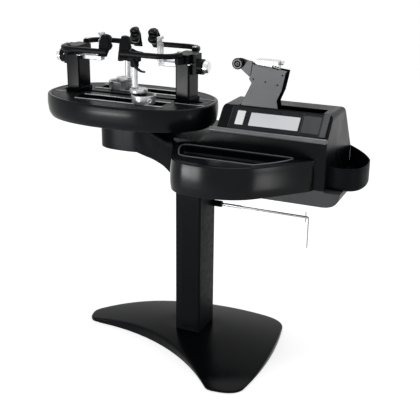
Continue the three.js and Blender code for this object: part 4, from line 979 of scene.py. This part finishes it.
# %% Knobs, roller and rings
KNOB_FACE, KNOB_AXIS = AXIS_X + 0.2667, 0.9767
knob_profile = soft_corners([(0.0, -0.030), (0.0080, -0.030), (0.0080, -0.0006), (0.0170, 0.0),
                             (0.0205, 0.0022), (0.0205, 0.0085), (0.0192, 0.0096), (0.0192, 0.0106),
                             (0.0203, 0.0118), (0.0196, 0.0148), (0.0150, 0.0182), (0.0085, 0.0190),
                             (0.0, 0.0190)], 0.0012)
for side, flip in (("right", False), ("left", True)):
    points = mirrored(lathe(knob_profile, (KNOB_FACE, 0.0, KNOB_AXIS), (1.0, 0.0, 0.0), 96), flip, False)
    grid_piece(f"{side}_knob_skin", points, chrome, f"{side}_knob", "chrome", (f"{side}_knob",))

ROLLER_AT = (0.147, 0.0, 0.999)
roller_profile = soft_corners([(0.0044, -0.0158), (0.0100, -0.0160), (0.0104, -0.0150), (0.0150, -0.0150),
                               (0.0156, -0.0160), (0.0178, -0.0158), (0.0180, -0.0120), (0.0112, -0.0085),
                               (0.0108, 0.0056), (0.0148, 0.0096), (0.0150, 0.0136), (0.0044, 0.0137),
                               (0.0044, -0.0158)], 0.0006)
hub_profile = soft_corners([(0.0, -0.0163), (0.0052, -0.0163), (0.0062, -0.0158), (0.0066, -0.0146),
                            (0.0042, -0.0146), (0.0, -0.0150)], 0.0004)
grid_piece("roller_skin", lathe(roller_profile, ROLLER_AT, (0.0, 1.0, 0.0)), matt_black, "roller",
           "black_plastic", ("string_roller",))
grid_piece("roller_hub", lathe(hub_profile, ROLLER_AT, (0.0, 1.0, 0.0)), pale_grey_and_painted_highlight, "roller",
           "black_plastic")
washer = soft_corners([(0.0108, -0.0148), (0.0146, -0.0148), (0.0146, -0.0156), (0.0108, -0.0156),
                       (0.0108, -0.0148)], 0.0002)
grid_piece("roller_washer", lathe(washer, ROLLER_AT, (0.0, 1.0, 0.0)), pale_grey_and_painted_highlight, "roller", "satin_steel")

RING_AXIS = (0.2833, 0.0105, 1.0105)
ring_shape = soft_corners([(0.0040, 0.0), (0.0082, 0.0), (0.0090, 0.0014), (0.0090, 0.0066), (0.0082, 0.0080),
                           (0.0040, 0.0080), (0.0040, 0.0)], 0.0008)
grid_piece("jaw_ring_skin", lathe(ring_shape, RING_AXIS, (1.0, 0.0, 0.0)), chrome, "jaw_ring", "chrome",
           ("gripper_ring",))

# %% [markdown]
# Four thin plates lie on the front face of the tension arm: the wing behind the roller, the seam next
# to it, and the stop under the jaws with its end.

# %% Small plates at the gripper
FACE_Y = -0.0183
face_plates = [
    ("roller_wing", plate_grey, [(0.1640, 0.9842), (0.1926, 0.9671), (0.1992, 1.0125), (0.1833, 1.0140)]),
    ("plate_seam", matt_black, [(0.1922, 0.9670), (0.1938, 0.9669), (0.2004, 1.0120), (0.1988, 1.0122)]),
    ("jaw_stop", matt_black, [(0.2636, 0.9950), (0.2850, 0.9917), (0.2860, 0.9950), (0.2640, 0.9992)]),
    ("jaw_stop_end", matt_black, [(0.2631, 0.9988), (0.2676, 0.9980), (0.2690, 1.0040), (0.2631, 1.0055)]),
]
for label, finish, corners in face_plates:
    plate = plate_points([(x, FACE_Y, z) for x, z in corners], 0.0009, 0.0002)
    grid_piece(label, plate, finish, "tension_head", "plate_steel", smooth_angle=30.0, caps=True)
print("plates at the gripper", len(face_plates))

# %% [markdown]
# The column gets a cover with soft corners and a plain front strip. The arm gets the swelling flank
# with which it leaves its hub.

# %% Column and arm covers
COLUMN_FOOT, COLUMN_TOP = 0.0466, 0.6402
COLUMN_PLAN = [
    (0.0440, -0.0660, 0.0480, -0.0660, 0.0480, -0.0620), (0.0480, 0.0500, 0.0480, 0.0660, 0.0320, 0.0660),
    (-0.0320, 0.0660, -0.0480, 0.0660, -0.0480, 0.0500),
    (-0.0480, -0.0500, -0.0480, -0.0660, -0.0340, -0.0660),
]


def make_column():
    """Four rounded corners of the plan, each a quadratic curve, raised from the foot to the arm."""
    t = np.linspace(0.0, 1.0, 7)[:, None]
    plan = np.vstack([(1 - t) ** 2 * row[:2] + 2 * t * (1 - t) * row[2:4] + t**2 * row[4:]
                      for row in np.array(COLUMN_PLAN)])
    edge = [(0.002, COLUMN_FOOT), (0.0, COLUMN_FOOT + 0.0015),
            (0.0, COLUMN_TOP - 0.0015), (0.002, COLUMN_TOP)]
    return rings(plan, np.array(edge))


NECK_X = [-0.205, -0.190, -0.169, -0.126, -0.089, -0.065, -0.0465, -0.0384]
NECK_LOW = [0.6832, 0.6805, 0.6735, 0.6624, 0.6460, 0.6252, 0.6050, 0.6045]


def make_neck():
    """The flank leans out by 0.034 (3 s^2 - 2 s^3), where s runs from 0 at the hub to 1 along the arm."""
    x = np.linspace(-0.205, -0.0384, 44)
    s = np.clip((x + 0.190) / 0.075, 0.0, 1.0)
    out = 0.034 * s**2 * (3 - 2 * s)
    low = np.interp(x, NECK_X, NECK_LOW)
    high = np.interp(x, [-0.130, -0.060], [0.7754, 0.7446])
    for _ in range(6):
        low[1:-1] = np.convolve(low, [0.25, 0.5, 0.25], "valid")
    rise = np.array([0.0, 0.0, 0.02, 0.06, 0.12, 0.3, 0.5, 0.7, 0.85, 0.95, 1.0, 1.0])
    shape = np.array([-1.0, -0.25, -0.1, 0.0, 0.06, 0.28, 0.52, 0.74, 0.88, 0.92, 0.80, -1.0])
    share = np.maximum(shape, 0.0)[None] * out[:, None]
    back = 0.030 * np.minimum(shape, 0.0)[None]
    y = -0.0705 - share - back
    z = low[:, None] + 0.0004 + (high - low)[:, None] * rise[None]
    return np.stack([np.broadcast_to(x[:, None], y.shape), y, z], axis=2)


grid_piece("column_skin", make_column(), matt_black, "stand", "gloss_paint", ("column",), caps=True)
strip_corners = [(-0.0196, -0.0661, 0.0606), (0.0427, -0.0661, 0.0606), (0.0427, -0.0661, 0.6323),
                 (-0.0196, -0.0661, 0.6323)]
grid_piece("column_strip", plate_points(strip_corners, 0.0016), paint, "stand", "gloss_paint",
           ("column_panel",), 30.0, caps=True)
grid_piece("neck_skin", make_neck(), matt_black, "stand", "gloss_paint", smooth_angle=60.0, caps=True)
grid_piece("neck_skin_back", make_neck() * (1.0, -1.0, 1.0), matt_black, "stand", "gloss_paint",
           smooth_angle=60.0, caps=True)

# %% [markdown]
# The console gets its leaning front, the soft nose under the sloping panel, pale grey as a painted highlight
# along its ridge, and the strip, the bare plate and the seams beside its display.

# %% Console fittings
SLOPE_FOOT = np.array([0.0, -0.0799, 0.8066])
SLOPE_UP = np.array([0.0, 0.0579, 0.0630]) / np.hypot(0.0579, 0.0630)
SLOPE_OUT = np.array([0.0, -SLOPE_UP[2], SLOPE_UP[1]])


def on_slope(x0, x1, low, high, lift=0.0):
    """Four corners of a rectangle on the sloping panel: x and the distance up the slope, lifted off it."""
    base = SLOPE_FOOT + lift * SLOPE_OUT
    return [base + (x, 0.0, 0.0) + up * SLOPE_UP for x, up in ((x0, low), (x1, low), (x1, high), (x0, high))]


def make_front():
    """The console's front leans back: its foot stands out by a little that fades towards the right."""
    share = np.linspace(0.0, 1.0, 7)[None]
    left = np.hstack([0.085 - 0.055 * share, [[0.030, 0.085]]])
    x = left + (0.4625 - left) * np.linspace(0.0, 1.0, 48)[:, None]
    out = np.interp(x[:, :7], [0.06, 0.22, 0.40, 0.4625], [0.0034, 0.0034, 0.0003, 0.0002])
    y = np.hstack([-0.0882 - out * share, np.full((48, 2), -0.0840)])
    z = np.hstack([0.7900 - 0.0494 * share, [[0.7406, 0.7900]]])
    return np.stack([x, y, np.broadcast_to(z, y.shape)], axis=2)


grid_piece("console_front", make_front(), console_black, "stand", "gloss_housing", smooth_angle=30.0,
           caps=True)
# The nose bar is pale grey: a painted highlight along the ridge under the panel.
nose_path = smooth_path([(0.086, -0.0828, 0.7995), (0.100, -0.0828, 0.7995), (0.300, -0.0828, 0.7995),
                         (0.452, -0.0828, 0.7995), (0.4655, -0.0828, 0.7995)], 24)
grid_piece("console_nose_painted_highlight", sweep(nose_path, (0.0, -0.75, 0.66), 0.0085, 0.0075, 2.0, 36), pale_grey_and_painted_highlight, "stand",
           "gloss_housing", caps=True)
panel_strip = plate_points(on_slope(0.4415, 0.4600, 0.004, 0.083, 0.0002), 0.0044, 0.0015)
grid_piece("panel_strip", panel_strip, soft_grey, "stand", "gloss_housing", smooth_angle=30.0, caps=True)
grid_piece("label_plate", plate_points(on_slope(0.3800, 0.4370, 0.012, 0.072, 0.0022), 0.0006), label_plastic,
           "stand", "black_plastic", smooth_angle=30.0, caps=True)
for number, x in enumerate((0.1435, 0.3765, 0.4390)):
    seam = plate_points(on_slope(x, x + 0.0011, 0.005, 0.081, 0.0022), 0.0009, 0.0002)
    grid_piece(f"panel_seam_{number + 1}", seam, soft_grey, "stand", "black_plastic", smooth_angle=30.0,
               caps=True)
print("column, neck and console fittings placed")

# %% [markdown]
# A bright plate lies between each tower and its yoke.

# %% Plates under the yokes
for side, flip in (("right", False), ("left", True)):
    corners = np.array([(AXIS_X + 0.168, -0.0445, 0.9866), (AXIS_X + 0.236, -0.0445, 0.9866),
                        (AXIS_X + 0.236, 0.0445, 0.9866), (AXIS_X + 0.168, 0.0445, 0.9866)])
    plate = plate_points(corners, 0.0014, 0.0004)
    grid_piece(f"{side}_yoke_plate", mirrored(plate, flip, False), satin_ring, f"{side}_tower", "satin_steel",
               smooth_angle=30.0, caps=True)
print("yoke plates placed")


# %% [markdown]
# Whatever CAD part is still showing as it came keeps its shape and only takes its finish.

# %% Finish the CAD parts that stay
for name, node in nodes.items():
    node.data.materials.clear()
    node.data.materials.append(special_material.get(name, slot_material[slot_of_node[name]]))

# %% [markdown]
# The lamps are plain soft boxes. A low one in front draws soft lights down the tray, the hub and the
# pan, a low one at the right and a weak strip at the back mark the ends, and one above fills the top.
# The floor and the world are white for the rays that see them directly, in metal or through glass.

# %% Floor, world and lights
def area_light(name, place, target, size, power):
    """A rectangular soft light that faces a target."""
    data = bpy.data.lights.new(name, "AREA")
    data.shape = "RECTANGLE"
    data.size, data.size_y = size
    data.energy = power
    light = bpy.data.objects.new(name, data)
    light.location = place
    light.rotation_euler = (Vector(target) - Vector(place)).to_track_quat("-Z", "Y").to_euler()
    bpy.context.scene.collection.objects.link(light)
    light.visible_camera = False
    return light


def seen_directly(tree):
    """1 for the rays that show the background: camera, glossy and transmission rays. Else 0."""
    path = tree.nodes.new("ShaderNodeLightPath")
    seen = path.outputs["Is Camera Ray"]
    for label in ("Is Glossy Ray", "Is Transmission Ray"):
        either = tree.nodes.new("ShaderNodeMath")
        either.operation = "MAXIMUM"
        tree.links.new(seen, either.inputs[0])
        tree.links.new(path.outputs[label], either.inputs[1])
        seen = either.outputs[0]
    return seen


def make_floor():
    """A wide pale floor: lit paint, and white besides for the rays that show the background."""
    half = 30.0
    mesh = bpy.data.meshes.new("floor")
    mesh.from_pydata([(-half, -half, 0), (half, -half, 0), (half, half, 0), (-half, half, 0)], [],
                     [(0, 1, 2, 3)])
    floor = bpy.data.objects.new("floor", mesh)
    bpy.context.scene.collection.objects.link(floor)
    material, tree, shader = new_material("pale floor", (0.8, 0.8, 0.8), 0.9)
    glow = tree.nodes.new("ShaderNodeEmission")
    strength = tree.nodes.new("ShaderNodeMath")
    strength.operation = "MULTIPLY"
    strength.inputs[1].default_value = FLOOR_GLOW
    tree.links.new(seen_directly(tree), strength.inputs[0])
    tree.links.new(strength.outputs[0], glow.inputs["Strength"])
    both = tree.nodes.new("ShaderNodeAddShader")
    tree.links.new(shader.outputs[0], both.inputs[0])
    tree.links.new(glow.outputs[0], both.inputs[1])
    tree.links.new(both.outputs[0], tree.nodes["Material Output"].inputs["Surface"])
    mesh.materials.append(material)


def make_world():
    """White for the rays that show the background, and a dim fill for the rest."""
    world = bpy.data.worlds.new("studio")
    bpy.context.scene.world = world
    world.use_nodes = True
    tree = world.node_tree
    background = tree.nodes["Background"]
    background.inputs["Color"].default_value = (1.0, 1.0, 1.0, 1.0)
    mix = tree.nodes.new("ShaderNodeMix")
    tree.links.new(seen_directly(tree), mix.inputs[0])
    mix.inputs[2].default_value = FILL_LIGHT
    mix.inputs[3].default_value = 1.0
    tree.links.new(mix.outputs[0], background.inputs["Strength"])


FLOOR_GLOW = 0.72
FILL_LIGHT = 0.3
make_floor()
make_world()
area_light("low front softbox", (-1.25, -2.3, 0.36), (0.0, 0.0, 0.8), (1.1, 0.26), 32.0)
area_light("low right softbox", (1.35, -0.56, 0.42), (0.3, -0.1, 0.7), (0.16, 0.3), 1.4)
area_light("back right strip", (1.3, 2.9, 0.25), (0.3, 0.0, 0.7), (1.6, 0.5), 0.16)
area_light("top softbox", (0.3, 0.2, 3.0), (0.0, 0.0, 0.8), (1.8, 1.4), 26.0)
bpy.context.scene.view_settings.view_transform = "Standard"
